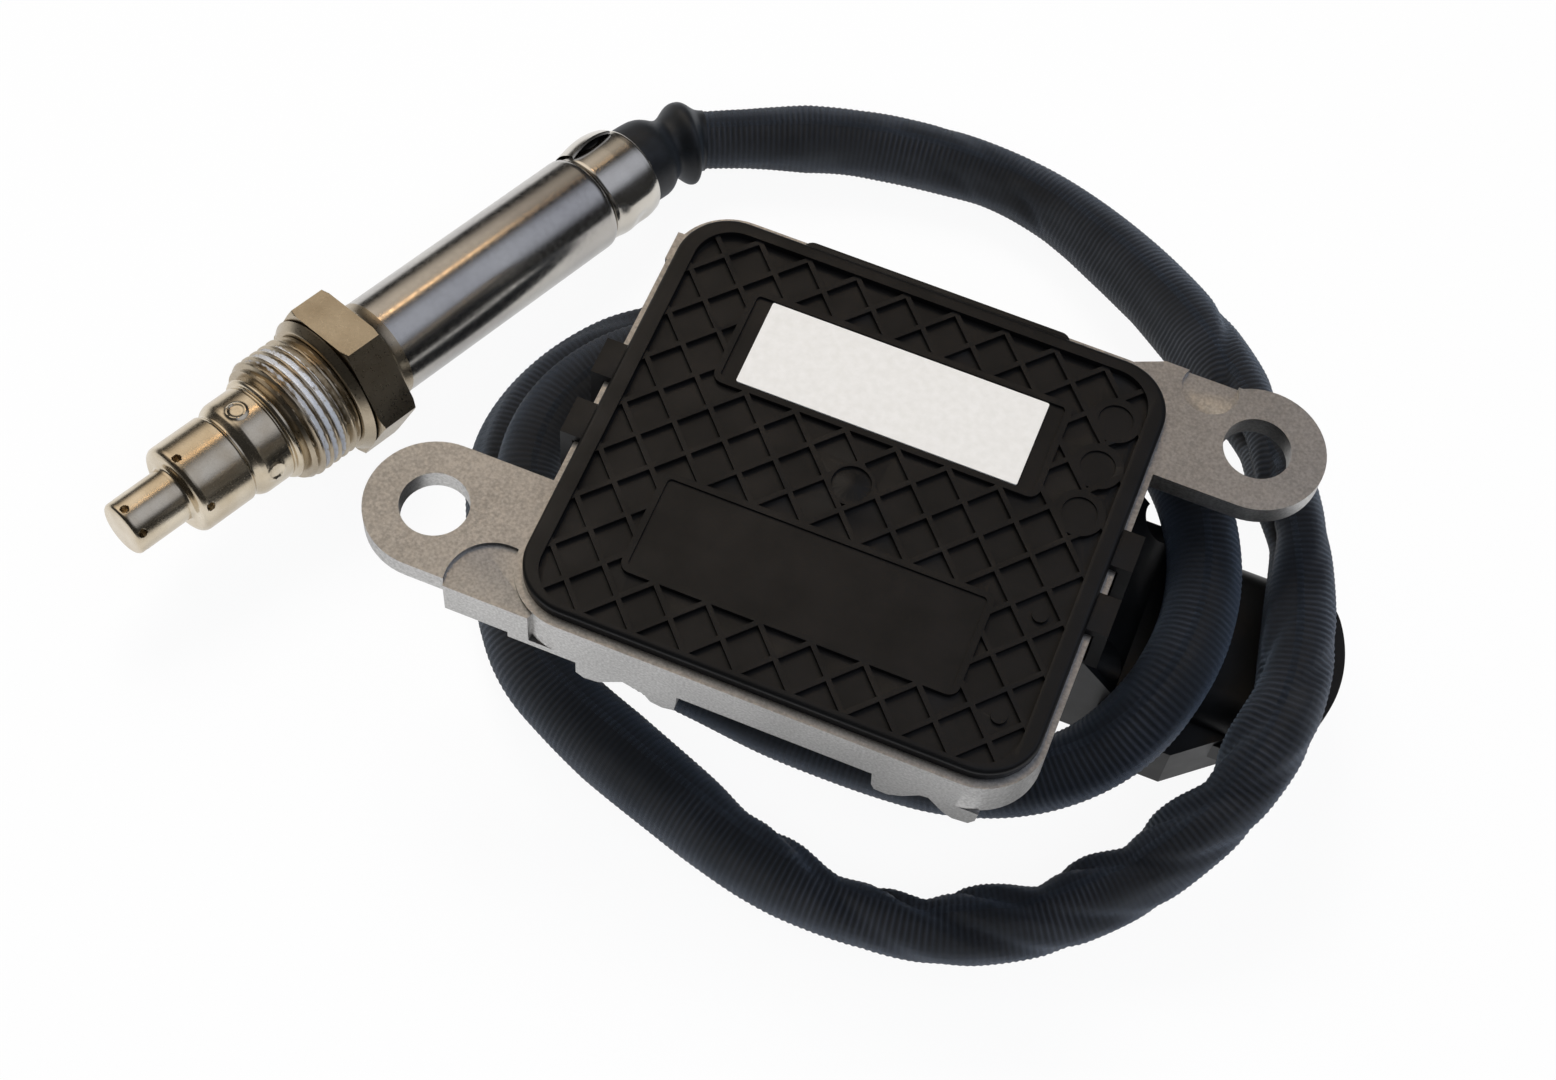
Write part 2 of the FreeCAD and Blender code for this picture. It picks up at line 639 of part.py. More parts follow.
def make_cover():
    """Lid with ribs, frames, round marks, gate mark, back tab, inner plug and snap hooks."""
    x0 = CENTRE_X - COVER_X / 2
    y1 = CENTRE_Y + COVER_Y / 2
    floor = COVER_TOP - RECESS_DEPTH
    plate = centred_box(CENTRE_X, CENTRE_Y, COVER_X, COVER_Y, EAR_TOP, COVER_TOP, COVER_R)
    plate = round_edges(plate, COVER_EDGE_R, level_edge(COVER_TOP))
    plug = rim_opening(FIT, EAR_TOP - PLUG_DEPTH, EAR_TOP)
    plug_hollow = rim_opening(FIT + CAST_WALL, EAR_TOP - PLUG_DEPTH, EAR_TOP)
    tab = rounded_box(CENTRE_X - TAB_LENGTH / 2, CENTRE_X + TAB_LENGTH / 2, y1 - 2 * TAB_R,
                      y1 + TAB_REACH, EAR_TOP, RIB_TOP, TAB_R)
    cover = fuse([plate, plug.cut(plug_hollow), tab] + make_hooks(x0))

    label = (CENTRE_X + LABEL_SHIFT_X, CENTRE_Y + LABEL_SHIFT_Y)
    blank = (CENTRE_X + BLANK_SHIFT_X, CENTRE_Y + BLANK_SHIFT_Y)
    gate = ((0, GATE_SHIFT_Y),)
    raised = [
        centred_box(*label, FRAME_X, FRAME_Y, floor, RIB_TOP, FRAME_R),
        centred_box(*blank, FRAME_X, FRAME_Y, floor, RIB_TOP, FRAME_R),
    ]
    raised += on_cover(gate, floor, RIB_TOP, GATE_R)
    raised += on_cover(MARKS, floor, RIB_TOP, MARK_R)
    raised += on_cover(PIN_MARKS, floor, RIB_TOP - PIN_MARK_DROP, PIN_MARK_R)
    pockets = recess_layer(floor, RIB_TOP).cut(rib_bars(floor, RIB_TOP) + raised)

    inner_x = FRAME_X - 2 * FRAME_WALL
    inner_y = FRAME_Y - 2 * FRAME_WALL
    inner_r = FRAME_R - FRAME_WALL
    sunk = [
        recess_layer(RIB_TOP, COVER_TOP),
        centred_box(*label, inner_x, inner_y, RIB_TOP - LABEL_FLOOR, RIB_TOP, inner_r),
        centred_box(*blank, inner_x, inner_y, RIB_TOP - BLANK_FLOOR, RIB_TOP, inner_r),
    ]
    sunk += on_cover(gate, RIB_TOP - GATE_RISE, RIB_TOP, GATE_R - GATE_WALL)
    sunk += on_cover(MARKS, RIB_TOP - MARK_FLOOR, RIB_TOP, MARK_R - MARK_WALL)
    cover = cover.cut([pockets] + sunk)
    cone = Part.makeCone(GATE_R - GATE_WALL, GATE_TIP_R, GATE_RISE,
                         V(CENTRE_X, CENTRE_Y + GATE_SHIFT_Y, RIB_TOP - GATE_RISE), Z)
    return fuse([cover, cone])


def make_hooks(x0):
    """Two snap hooks on each side, over the rim and under its lower edge."""
    out = RIM_X0 - HOOK_REACH
    hooks = []
    for side in (-0.5, 0.5):
        y0 = CENTRE_Y + side * HOOK_SPREAD - HOOK_WIDTH / 2
        y1 = y0 + HOOK_WIDTH
        lip_top = RIM_BOTTOM - HOOK_GAP
        arm = box(out, x0 + COVER_EDGE_R, y0, y1, EAR_TOP, COVER_TOP - COVER_EDGE_R)
        leg = box(out, out + HOOK_LEG, y0, y1, lip_top - HOOK_LIP, EAR_TOP)
        lip = box(out, RIM_X0 + HOOK_LIP, y0, y1, lip_top - HOOK_LIP, lip_top)
        hook = fuse([arm, leg, lip])
        other = hook.copy()
        other.rotate(V(CENTRE_X, CENTRE_Y, 0), Z, 180)
        hooks.append(hook)
        hooks.append(other)
    return hooks


def make_board():
    """Circuit board with its screw holes."""
    board = rounded_box(BOARD_X0, BOARD_X1, BOARD_Y0, BOARD_Y1, BOARD_BOTTOM, BOARD_TOP, BOARD_R)
    return board.cut([rod(x, y, BOARD_BOTTOM, BOARD_TOP, SCREW_R + FIT) for x, y in posts()])


def make_board_screws():
    """Four screws, head on the board and shank in its post."""
    screws = []
    for x, y in posts():
        shank = rod(x, y, BOARD_BOTTOM - SCREW_BITE, BOARD_TOP, SCREW_R)
        head = rod(x, y, BOARD_TOP, BOARD_TOP + SCREW_HEAD, SCREW_HEAD_R)
        screws.append(shank.fuse(head).removeSplitter())
    return Part.makeCompound(screws)


def on_board(cx, cy, size):
    """Rectangular package that lies on the board."""
    sx, sy, sz = size
    return box(cx - sx / 2, cx + sx / 2, cy - sy / 2, cy + sy / 2, BOARD_TOP, BOARD_TOP + sz)


def board_place(share_x, share_y):
    """Place on the board, as shares of its length and width."""
    return (BOARD_X0 + share_x * (BOARD_X1 - BOARD_X0), BOARD_Y0 + share_y * (BOARD_Y1 - BOARD_Y0))


def make_capacitors():
    """Three upright capacitors along the front of the board."""
    cans = []
    for share in (0.3, 0.46, 0.62):
        x, y = board_place(share, 0.14)
        cans.append(rod(x, y, BOARD_TOP, BOARD_TOP + CAPACITOR_HEIGHT, CAPACITOR_R))
    return Part.makeCompound(cans)


def pin_path(y):
    """Solid of one pin: socket, rise in the plug housing, run through the window, rise to the board."""
    socket_z = FLOOR + SHROUD_Z / 2
    half = PIN_WIDTH / 2
    board_x = TUB_X1 - CAST_WALL - PLUG_SCREW_BITE - PIN_WIDTH
    tip_x = SHROUD_X1 - SOCKET_DEPTH + PIN_REACH
    runs = [
        box(SLOPE_X - half, tip_x, y - half, y + half, socket_z - half, socket_z + half),
        box(SLOPE_X - half, SLOPE_X + half, y - half, y + half, socket_z - half, PIN_Z + half),
        box(board_x - half, SLOPE_X + half, y - half, y + half, PIN_Z - half, PIN_Z + half),
        box(board_x - half, board_x + half, y - half, y + half, PIN_Z - half, BOARD_BOTTOM),
    ]
    return fuse(runs)


def make_pins():
    """The plug's contact pins side by side."""
    first = PLUG_Y - (PIN_COUNT - 1) * PIN_PITCH / 2
    return Part.makeCompound([pin_path(first + i * PIN_PITCH) for i in range(PIN_COUNT)])


def flange_box(x0, x1, grow):
    """Plate against the tub's wall, between two X places."""
    z1 = RIM_BOTTOM - FLANGE_TOP_GAP
    return box(x0, x1, PLUG_Y - FLANGE_Y / 2 - grow, PLUG_Y + FLANGE_Y / 2 + grow,
               z1 - FLANGE_Z - grow, z1 + grow)


def make_plug_housing(pins):
    """Flange, spigot, sloping neck, shoulder and open shroud, moulded round the pins."""
    flange = flange_box(FLANGE_X, NECK_X, 0)
    spigot = box(TUB_X1 - CAST_WALL, FLANGE_X, PLUG_Y - WINDOW_Y / 2 + FIT,
                 PLUG_Y + WINDOW_Y / 2 - FIT, WINDOW_Z1 - WINDOW_Z + FIT, WINDOW_Z1 - FIT)
    shroud_y0 = PLUG_Y - SHROUD_Y / 2
    shroud_bottom = FLOOR + SHROUD_WALL / 2
    neck_y0 = PLUG_Y - NECK_FRONT
    neck_top = RIM_BOTTOM - NECK_TOP_GAP
    side = [
        V(NECK_X, neck_y0, neck_top),
        V(SLOPE_X, neck_y0, neck_top),
        V(SLOPE_X + SLOPE_LENGTH, neck_y0, SHROUD_TOP),
        V(SHROUD_X0, neck_y0, SHROUD_TOP),
        V(SHROUD_X0, neck_y0, shroud_bottom),
        V(SLOPE_X, neck_y0, shroud_bottom),
        V(NECK_X, neck_y0, RIM_BOTTOM - FLANGE_TOP_GAP - FLANGE_Z),
    ]
    side.append(side[0])
    neck = Part.Face(Part.makePolygon(side)).extrude(Y * (NECK_FRONT + NECK_BACK))
    shroud = make_shroud(SHROUD_X0, SHROUD_X1, 0)
    shroud = shroud.common(rod(SHROUD_X1 - MOUTH_R, PLUG_Y + MOUTH_SHIFT_Y, FLOOR, SHROUD_TOP, MOUTH_R))
    shoulder = prism((
        (SHROUD_X0 - SHOULDER_BACK, shroud_y0 - SHOULDER_DROP),
        (SHROUD_X0 + SHOULDER_FRONT, shroud_y0 - SHOULDER_DROP),
        (SHROUD_X0 + SHOULDER_REACH, shroud_y0),
        (SHROUD_X0 + SHOULDER_REACH, shroud_y0 + SHROUD_WALL),
        (SHROUD_X0 - SHOULDER_BACK, shroud_y0 + SHROUD_WALL),
    ), shroud_bottom, FLOOR + SHOULDER_Z)
    latch_x, latch_y, latch_z = LATCH
    latch_mid = FLOOR + SHROUD_Z / 2
    latch = box(SHROUD_X1 - 2 * latch_x, SHROUD_X1 - latch_x, shroud_y0 - latch_y, shroud_y0,
                latch_mid - latch_z / 2, latch_mid + latch_z / 2)
    body = fuse([flange, spigot, neck, shroud, shoulder, latch])
    cuts = [make_shroud(SHROUD_X1 - SOCKET_DEPTH, SHROUD_X1 + 1, SHROUD_WALL), pins]
    for y, z in plug_screws():
        cuts.append(rod_x(FLANGE_X, NECK_X, y, z, PLUG_SCREW_R + FIT))
        cuts.append(rod_x(NECK_X, SHROUD_X0, y, z, PLUG_SCREW_HEAD_R + FIT))
    return body.cut(cuts)


def make_shroud(x0, x1, inset):
    """Block along X with rounded long edges, inset from the shroud's outline."""
    y0 = PLUG_Y - SHROUD_Y / 2 + inset
    y1 = PLUG_Y + SHROUD_Y / 2 - inset
    block = rounded_box(FLOOR + inset, SHROUD_TOP - inset, y0, y1, 0, x1 - x0, SHROUD_R - inset)
    block.rotate(V(0, 0, 0), Y, 90)
    block.translate(V(x0, 0, 2 * FLOOR + SHROUD_Z))
    block.translate(V(0, 0, -block.BoundBox.ZMin + FLOOR + inset))
    return block


def make_plug_gasket():
    """Flat gasket between the flange and the tub's wall."""
    plate = flange_box(TUB_X1, FLANGE_X, 0)
    cuts = [box(TUB_X1, FLANGE_X, PLUG_Y - WINDOW_Y / 2, PLUG_Y + WINDOW_Y / 2,
                WINDOW_Z1 - WINDOW_Z, WINDOW_Z1)]
    for y, z in plug_screws():
        cuts.append(rod_x(TUB_X1, FLANGE_X, y, z, PLUG_SCREW_R + FIT))
    return plate.cut(cuts)


def make_plug_screws():
    """Four screws through the flange into the tub's wall."""
    screws = []
    for y, z in plug_screws():
        shank = rod_x(TUB_X1 - CAST_WALL - PLUG_SCREW_BITE, NECK_X, y, z, PLUG_SCREW_R)
        head = rod_x(NECK_X, NECK_X + PLUG_SCREW_HEAD, y, z, PLUG_SCREW_HEAD_R)
        screws.append(shank.fuse(head).removeSplitter())
    return Part.makeCompound(screws)


def swept(points, radius, radii):
    """Round bar along straight runs that tangent arcs join, and the length of its path."""
    edges = []
    last = points[0]
    for i in range(1, len(points) - 1):
        before = (points[i] - points[i - 1]).normalize()
        after = (points[i + 1] - points[i]).normalize()
        turn = before.getAngle(after)
        r = radii[i - 1]
        reach = r * math.tan(turn / 2)
        start = points[i] - before * reach
        end = points[i] + after * reach
        inward = (after - before).normalize()
        middle = points[i] + inward * (r / math.cos(turn / 2) - r)
        edges.append(Part.LineSegment(last, start).toShape())
        edges.append(Part.Arc(start, middle, end).toShape())
        last = end
    edges.append(Part.LineSegment(last, points[-1]).toShape())
    path = Part.Wire(edges)
    first = (points[1] - points[0]).normalize()
    section = Part.Wire(Part.Circle(points[0], first, radius).toShape())
    return path.makePipeShell([section], True, False), path.Length


def route_points():
    """The cable's route in the part's frame, from the gland's face along the gland's axis."""
    leave = [V(GLAND_X, GLAND_Y, GLAND_Z), V(GLAND_X - CABLE_LEAVE, GLAND_Y, GLAND_Z)]
    return leave + [V(x, y, FLOOR + height) for x, y, height in ROUTE]


def route_radius(points, i):
    """Largest arc that the two runs at point i allow."""
    before = points[i] - points[i - 1]
    after = points[i + 1] - points[i]
    turn = before.getAngle(after)
    return ARC_SHARE * min(before.Length, after.Length) / math.tan(turn / 2)


def make_cable():
    """Sleeved cable from the gland to the probe's boot."""
    points = route_points()
    radii = [route_radius(points, i) for i in range(1, len(points) - 1)]
    cable, length = swept(points, CABLE_R, radii)
    print("cable radii", [round(r, 1) for r in radii])
    ideal = math.pi * CABLE_R ** 2 * length
    print("cable length %.1f, volume share %.4f" % (length, cable.Volume / ideal))
    return cable


def make_gland():
    """Rubber grommet in the step of the tub, bored for the leads."""
    inside = STEP_X + CAST_WALL
    body = fuse([
        rod_x(GLAND_X, STEP_X, GLAND_Y, GLAND_Z, GLAND_FLANGE_R),
        rod_x(STEP_X, inside, GLAND_Y, GLAND_Z, GLAND_NECK_R),
        rod_x(inside, inside + GLAND_LIP, GLAND_Y, GLAND_Z, GLAND_LIP_R),
    ])
    bores = []
    for y, z in lead_ring():
        bores.append(rod_x(GLAND_X, inside + GLAND_LIP, y, z, LEAD_R))
    return body.cut(bores)


def lead_ring():
    """Centres of the leads round the gland's axis."""
    for i in range(LEAD_COUNT):
        angle = 2 * math.pi * (i + 0.5) / LEAD_COUNT
        yield GLAND_Y + LEAD_RING * math.cos(angle), GLAND_Z + LEAD_RING * math.sin(angle)


def make_leads():
    """The cable's leads from the gland to the underside of the board, each with one bend."""
    leads = []
    for y, z in lead_ring():
        bend_x = GLAND_X + LEAD_RUN - (z - GLAND_Z) * LEAD_STAGGER
        leads.append(fuse([
            rod_x(GLAND_X, bend_x, y, z, LEAD_R),
            Part.makeSphere(LEAD_R, V(bend_x, y, z)),
            rod(bend_x, y, z, BOARD_BOTTOM, LEAD_R),
        ]))
    return Part.makeCompound(leads)


def probe_direction():
    """Unit vector along the probe, from the tip to the boot."""
    heading = math.radians(HEADING)
    tilt = math.radians(TILT)
    return V(math.cos(tilt) * math.cos(heading), math.cos(tilt) * math.sin(heading), math.sin(tilt))


def probe_frame():
    """Placement that takes local Z along the probe and local X to its upper side."""
    along = probe_direction()
    up = (Z - along * Z.dot(along)).normalize()
    side = along.cross(up)
    matrix = FreeCAD.Matrix(
        up.x, side.x, along.x, TIP_X,
        up.y, side.y, along.y, TIP_Y,
        up.z, side.z, along.z, FLOOR + TIP_RISE,
        0, 0, 0, 1,
    )
    return FreeCAD.Placement(matrix)


def on_probe(shape):
    """Shape from the probe's own frame in the part's frame."""
    shape.Placement = probe_frame().multiply(shape.Placement)
    return shape


def turned_about(shape, angle):
    """Copy turned about the local Z axis, from the upper side."""
    copy = shape.copy()
    copy.rotate(V(0, 0, 0), Z, angle)
    return copy


def make_outer_tube():
    """Stepped protection tube with its gas holes."""
    wall = TUBE_WALL
    base = BASE_START + GROOVE_WIDTH
    profile = (
        (0, VENT_R),
        (0, TIP_R - wall),
        (wall, TIP_R),
        (STAGE_START, TIP_R),
        (STAGE_START, STAGE_R - wall),
        (STAGE_START + wall, STAGE_R),
        (BASE_START, STAGE_R),
        (BASE_START, GROOVE_R),
        (base, GROOVE_R),
        (base, BASE_R),
        (BODY_START, BASE_R),
        (BODY_START, BASE_R - 2 * wall),
        (base - wall, GROOVE_R - wall),
        (BASE_START, GROOVE_R - wall),
        (STAGE_START + wall, GROOVE_R - wall),
        (STAGE_START + wall, TIP_R - wall),
        (wall, TIP_R - wall),
        (wall, VENT_R),
    )
    tube = turned(profile)
    holes = []
    for i in range(TIP_HOLES):
        hole = Part.makeCylinder(GAS_HOLE_R, STAGE_R, V(0, 0, TIP_HOLE_STATION), X)
        holes.append(turned_about(hole, HEX_TURN + 360.0 * i / TIP_HOLES))
    for i in range(STAGE_HOLES):
        station = STAGE_START + STAGE_HOLE_STATION
        hole = Part.makeCylinder(GAS_HOLE_R, 2 * STAGE_R, V(0, 0, station), X)
        holes.append(turned_about(hole, HEX_TURN + 360.0 * i / STAGE_HOLES))
    return on_probe(tube.cut(holes))


def make_body():
    """Sensor body: plain-diameter thread, washer neck, hexagon and rear collar, bored through."""
    barrel = turned((
        (BODY_START, LEDGE_R),
        (BODY_START, THREAD_R - THREAD_CHAMFER),
        (BODY_START + THREAD_CHAMFER, THREAD_R),
        (NECK_START, THREAD_R),
        (NECK_START, NECK_R),
        (HEX_START, NECK_R),
        (HEX_START, COLLAR_R),
        (BODY_END - COLLAR_CHAMFER, COLLAR_R),
        (BODY_END, COLLAR_R - COLLAR_CHAMFER),
        (BODY_END, LEDGE_R),
    ))
    corner = HEX_FLATS / 2 / math.cos(math.pi / 6)
    points = []
    for i in range(7):
        angle = math.radians(HEX_TURN + 60 * i)
        points.append(V(corner * math.cos(angle), corner * math.sin(angle), HEX_START))
    hexagon = Part.Face(Part.makePolygon(points)).extrude(Z * HEX_LENGTH)
    inner = corner - 2 * HEX_CHAMFER
    bounds = turned((
        (HEX_START, 0),
        (HEX_START, inner),
        (HEX_START + HEX_CHAMFER, corner),
        (HEX_END - HEX_CHAMFER, corner),
        (HEX_END, inner),
        (HEX_END, 0),
    ))
    body = barrel.fuse(hexagon.common(bounds)).removeSplitter()
    bores = [
        Part.makeCylinder(FRONT_BORE_R, FRONT_BORE, V(0, 0, BODY_START), Z),
        Part.makeCylinder(CORE_BORE_R, BODY_END - CORE_START, V(0, 0, CORE_START), Z),
        Part.makeCylinder(SLEEVE_R, SLEEVE_SEAT, V(0, 0, SLEEVE_START), Z),
    ]
    return on_probe(body.cut(bores))


def make_washer():
    """Captive sealing ring between thread and hexagon, wider towards the hexagon."""
    start = HEX_START - WASHER_LENGTH
    inner = NECK_R + FIT
    return on_probe(turned((
        (start, inner),
        (start, WASHER_R),
        (HEX_START, WASHER_R + WASHER_FLARE),
        (HEX_START, inner),
    )))


def make_inner_tube():
    """Inner protection tube, seated by its flange on the body's ledge."""
    inner = INNER_TUBE_R - INNER_TUBE_WALL
    flange_r = FRONT_BORE_R - PACKING_GAP
    return on_probe(turned((
        (INNER_TUBE_START, VENT_R),
        (INNER_TUBE_START, INNER_TUBE_R),
        (LEDGE_START - INNER_FLANGE, INNER_TUBE_R),
        (LEDGE_START - INNER_FLANGE, flange_r),
        (LEDGE_START, flange_r),
        (LEDGE_START, inner),
        (INNER_TUBE_START + INNER_TUBE_WALL, inner),
        (INNER_TUBE_START + INNER_TUBE_WALL, VENT_R),
    )))


def strip(start, end, gap):
    """Rectangular bar of the element's section, grown by a gap."""
    x = ELEMENT_THICK / 2 + gap
    y = ELEMENT_WIDTH / 2 + gap
    return box(-x, x, -y, y, start, end)


def make_insulator(start, length, gap):
    """Round block with the element's slot."""
    block = Part.makeCylinder(CORE_R, length, V(0, 0, start), Z)
    return on_probe(block.cut(strip(start, start + length, gap)))


def make_holder():
    """Ceramic block that holds the spring contacts against the element."""
    r = SLEEVE_R - SLEEVE_WALL - HOLDER_CLEAR
    block = Part.makeCylinder(r, HOLDER_LENGTH, V(0, 0, HOLDER_START), Z)
    slot = strip(HOLDER_START, HOLDER_END, CONTACT_THICK + PACKING_GAP)
    return on_probe(block.cut(slot))


def contact_places():
    """Centres of the contacts across the probe: three on each face of the element."""
    for side in (-1, 1):
        for i in (-1, 0, 1):
            yield side * (ELEMENT_THICK + CONTACT_THICK) / 2, i * CONTACT_PITCH


def make_contacts():
    """Six spring contacts along the element's two faces."""
    strips = []
    for x, y in contact_places():
        strips.append(box(x - CONTACT_THICK / 2, x + CONTACT_THICK / 2, y - CONTACT_WIDTH / 2,
                          y + CONTACT_WIDTH / 2, CONTACT_START, CONTACT_END))
    return on_probe(Part.makeCompound(strips))


def make_probe_leads():
    """Leads from the contacts to the end of the crimp collar."""
    leads = []
    for x, y in contact_places():
        base = V(math.copysign(PROBE_LEAD_R + PACKING_GAP, x), y, CONTACT_END)
        leads.append(Part.makeCylinder(PROBE_LEAD_R, CRIMP_END - CONTACT_END, base, Z))
    return Part.makeCompound(leads)


def make_crimp():
    """Crimp collar: narrow entry inside the sleeve, then a wider part with a pressed flat."""
    entry_r = SLEEVE_R - SLEEVE_WALL
    collar = turned((
        (SLEEVE_END - CRIMP_ENTRY, CRIMP_BORE_R),
        (SLEEVE_END - CRIMP_ENTRY, entry_r),
        (SLEEVE_END, entry_r),
        (SLEEVE_END, CRIMP_R),
        (CRIMP_END, CRIMP_R),
        (CRIMP_END, CRIMP_BORE_R),
    ))
    middle = (SLEEVE_END + CRIMP_END) / 2
    flat = box(CRIMP_R - FLAT_DEPTH, CRIMP_R + 1, -FLAT_WIDTH / 2, FLAT_WIDTH / 2,
               middle - FLAT_LENGTH / 2, middle + FLAT_LENGTH / 2)
    return on_probe(collar.cut(turned_about(flat, FLAT_TURN)))


def make_clip():
    """Thin band round the crimp collar with an upright tab."""
    start = SLEEVE_END + FIT
    band = pipe(start, start + CLIP_WIDTH, CRIMP_R + CLIP_THICK, CRIMP_R)
    tab = box(CRIMP_R, CRIMP_R + CLIP_TAB, -CLIP_WIDTH / 2, CLIP_WIDTH / 2, start,
              start + CLIP_THICK * 2)
    return on_probe(band.fuse(turned_about(tab, CLIP_TURN)).removeSplitter())


def make_boot():
    """Rubber boot from the crimp collar round a bend to the cable."""
    ridge_end = CRIMP_END + BOOT_RIDGE
    corner = CRIMP_END + BOOT_FRONT
    front = on_probe(turned((
        (CRIMP_END, 0),
        (CRIMP_END, RIDGE_ONE_R),
        (ridge_end, RIDGE_ONE_R),
        (ridge_end, BOOT_WAIST_R),
        (corner, BOOT_WAIST_R),
        (corner, 0),
    )))
    points = route_points()
    end = points[-1]
    back = (points[-1] - points[-2]).normalize()
    bend = end + back * BOOT_REAR
    rear = Part.makeCylinder(BOOT_WAIST_R, BOOT_REAR, end, back)
    ridge = Part.makeCylinder(RIDGE_TWO_R, BOOT_REAR / 2, end, back)
    ball = Part.makeSphere(BOOT_WAIST_R, bend)
    return fuse([front, rear, ridge, ball])


def build():
    """All pieces by node name."""
    pins = make_pins()
    slot_gap = PACKING_GAP / 2
    grommet = Part.makeCylinder(CRIMP_BORE_R, GROMMET_LENGTH, V(0, 0, GROMMET_START), Z)
    grommet = grommet.cut(make_probe_leads())
    return {
        "housing": make_housing(),
        "cover": make_cover(),
        "cover_seal": make_groove(EAR_TOP),
        "label_plate": centred_box(CENTRE_X + LABEL_SHIFT_X, CENTRE_Y + LABEL_SHIFT_Y, LABEL_X,
                                   LABEL_Y, RIB_TOP - LABEL_FLOOR,
                                   RIB_TOP - LABEL_FLOOR + LABEL_THICK, LABEL_THICK),
        "circuit_board": make_board(),
        "board_screws": make_board_screws(),
        "processor_chip": on_board(*board_place(0.52, 0.52), PROCESSOR),
        "driver_chips": Part.makeCompound([
            on_board(*board_place(0.8, 0.3), DRIVER),
            on_board(*board_place(0.8, 0.5), DRIVER),
        ]),
        "power_coil": on_board(*board_place(0.24, 0.45), COIL),
        "capacitors": make_capacitors(),
        "connector_housing": make_plug_housing(pins),
        "connector_seal": make_plug_gasket(),
        "connector_pins": pins,
        "connector_screws": make_plug_screws(),
        "cable_gland": make_gland(),
        "sensor_leads": make_leads(),
        "cable_sleeve": make_cable(),
        "cable_boot": make_boot(),
        "crimp_collar": make_crimp(),
        "crimp_clip": make_clip(),
        "sleeve_tube": on_probe(pipe(SLEEVE_START, SLEEVE_END, SLEEVE_R, SLEEVE_R - SLEEVE_WALL)),
        "sensor_body": make_body(),
        "sealing_washer": make_washer(),
        "outer_protection_tube": make_outer_tube(),
        "inner_protection_tube": make_inner_tube(),
        "sensing_element": on_probe(strip(ELEMENT_START, ELEMENT_END, 0)),
        "front_insulator": make_insulator(CORE_START, FRONT_INSULATOR, slot_gap),
        "talc_packing": make_insulator(TALC_START, TALC, 0),
        "rear_insulator": make_insulator(REAR_START, REAR_INSULATOR, slot_gap),
        "contact_holder": make_holder(),
        "contacts": make_contacts(),
        "rear_grommet": on_probe(grommet),
        "probe_leads": on_probe(make_probe_leads()),
    }


os.makedirs("parts", exist_ok=True)
for name, shape in build().items():
    shape.exportStep("parts/%s.step" % name)
    print(name, "valid", shape.isValid(), "solids", len(shape.Solids), "volume", round(shape.Volume))
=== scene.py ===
"""Nitrogen oxide sensor: finishes, sleeved cable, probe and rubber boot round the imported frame.

Lengths are in metres in the part's own frame. Sizes written in millimetres are multiplied by MM.
Angles round the probe and the cable start at the upper side.
"""
import json
import logging
import math
from dataclasses import dataclass
from typing import Any, Callable, Dict, List, Optional, Sequence, Tuple, Union

import bmesh
import bpy
import numpy as np
from mathutils import Matrix, Vector

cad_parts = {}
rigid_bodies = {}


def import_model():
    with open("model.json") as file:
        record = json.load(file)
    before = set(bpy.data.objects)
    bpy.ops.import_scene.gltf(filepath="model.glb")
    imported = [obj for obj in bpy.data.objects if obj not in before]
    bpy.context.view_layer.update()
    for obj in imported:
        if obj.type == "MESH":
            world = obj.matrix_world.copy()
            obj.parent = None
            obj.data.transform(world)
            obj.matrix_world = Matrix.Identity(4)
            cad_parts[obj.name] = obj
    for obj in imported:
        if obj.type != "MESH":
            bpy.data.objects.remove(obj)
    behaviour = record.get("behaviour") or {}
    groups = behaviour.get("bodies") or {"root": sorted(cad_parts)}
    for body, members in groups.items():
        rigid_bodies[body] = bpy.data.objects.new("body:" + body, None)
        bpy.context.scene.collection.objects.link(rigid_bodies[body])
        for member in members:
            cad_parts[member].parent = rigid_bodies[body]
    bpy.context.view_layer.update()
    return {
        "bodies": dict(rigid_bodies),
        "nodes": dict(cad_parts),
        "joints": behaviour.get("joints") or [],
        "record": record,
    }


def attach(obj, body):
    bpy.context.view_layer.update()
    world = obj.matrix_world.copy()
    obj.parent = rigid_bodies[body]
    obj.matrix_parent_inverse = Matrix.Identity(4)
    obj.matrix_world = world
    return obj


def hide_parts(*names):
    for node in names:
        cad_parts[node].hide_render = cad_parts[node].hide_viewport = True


log = logging.getLogger("sensor")

MM = 0.001
IMAGE_WIDTH = 1556
FLOOR_Z = -34.5 * MM
FLOOR_GAP = 0.05 * MM
ROOT = "root"
NOISE_CELLS = 4096

Point = Tuple[float, float, float]
Colour = Tuple[float, float, float, float]
Grid = np.ndarray
Rows = Tuple[Tuple[float, ...], ...]
Stops = Sequence[Tuple[float, Union[str, float]]]


def srgb(code: str) -> Colour:
    """Turn an sRGB hex colour into linear red, green, blue and alpha.

    Args:
        code: Six hex digits, with or without a leading hash.

    Returns:
        The colour in linear light, with alpha 1.
    """
    digits = code.lstrip("#")
    values = [int(digits[i:i + 2], 16) / 255 for i in (0, 2, 4)]
    linear = [v / 12.92 if v <= 0.04045 else ((v + 0.055) / 1.055) ** 2.4 for v in values]
    return (linear[0], linear[1], linear[2], 1.0)


def grey(value: float) -> Colour:
    """Grey of one linear value, with alpha 1."""
    return (value, value, value, 1.0)


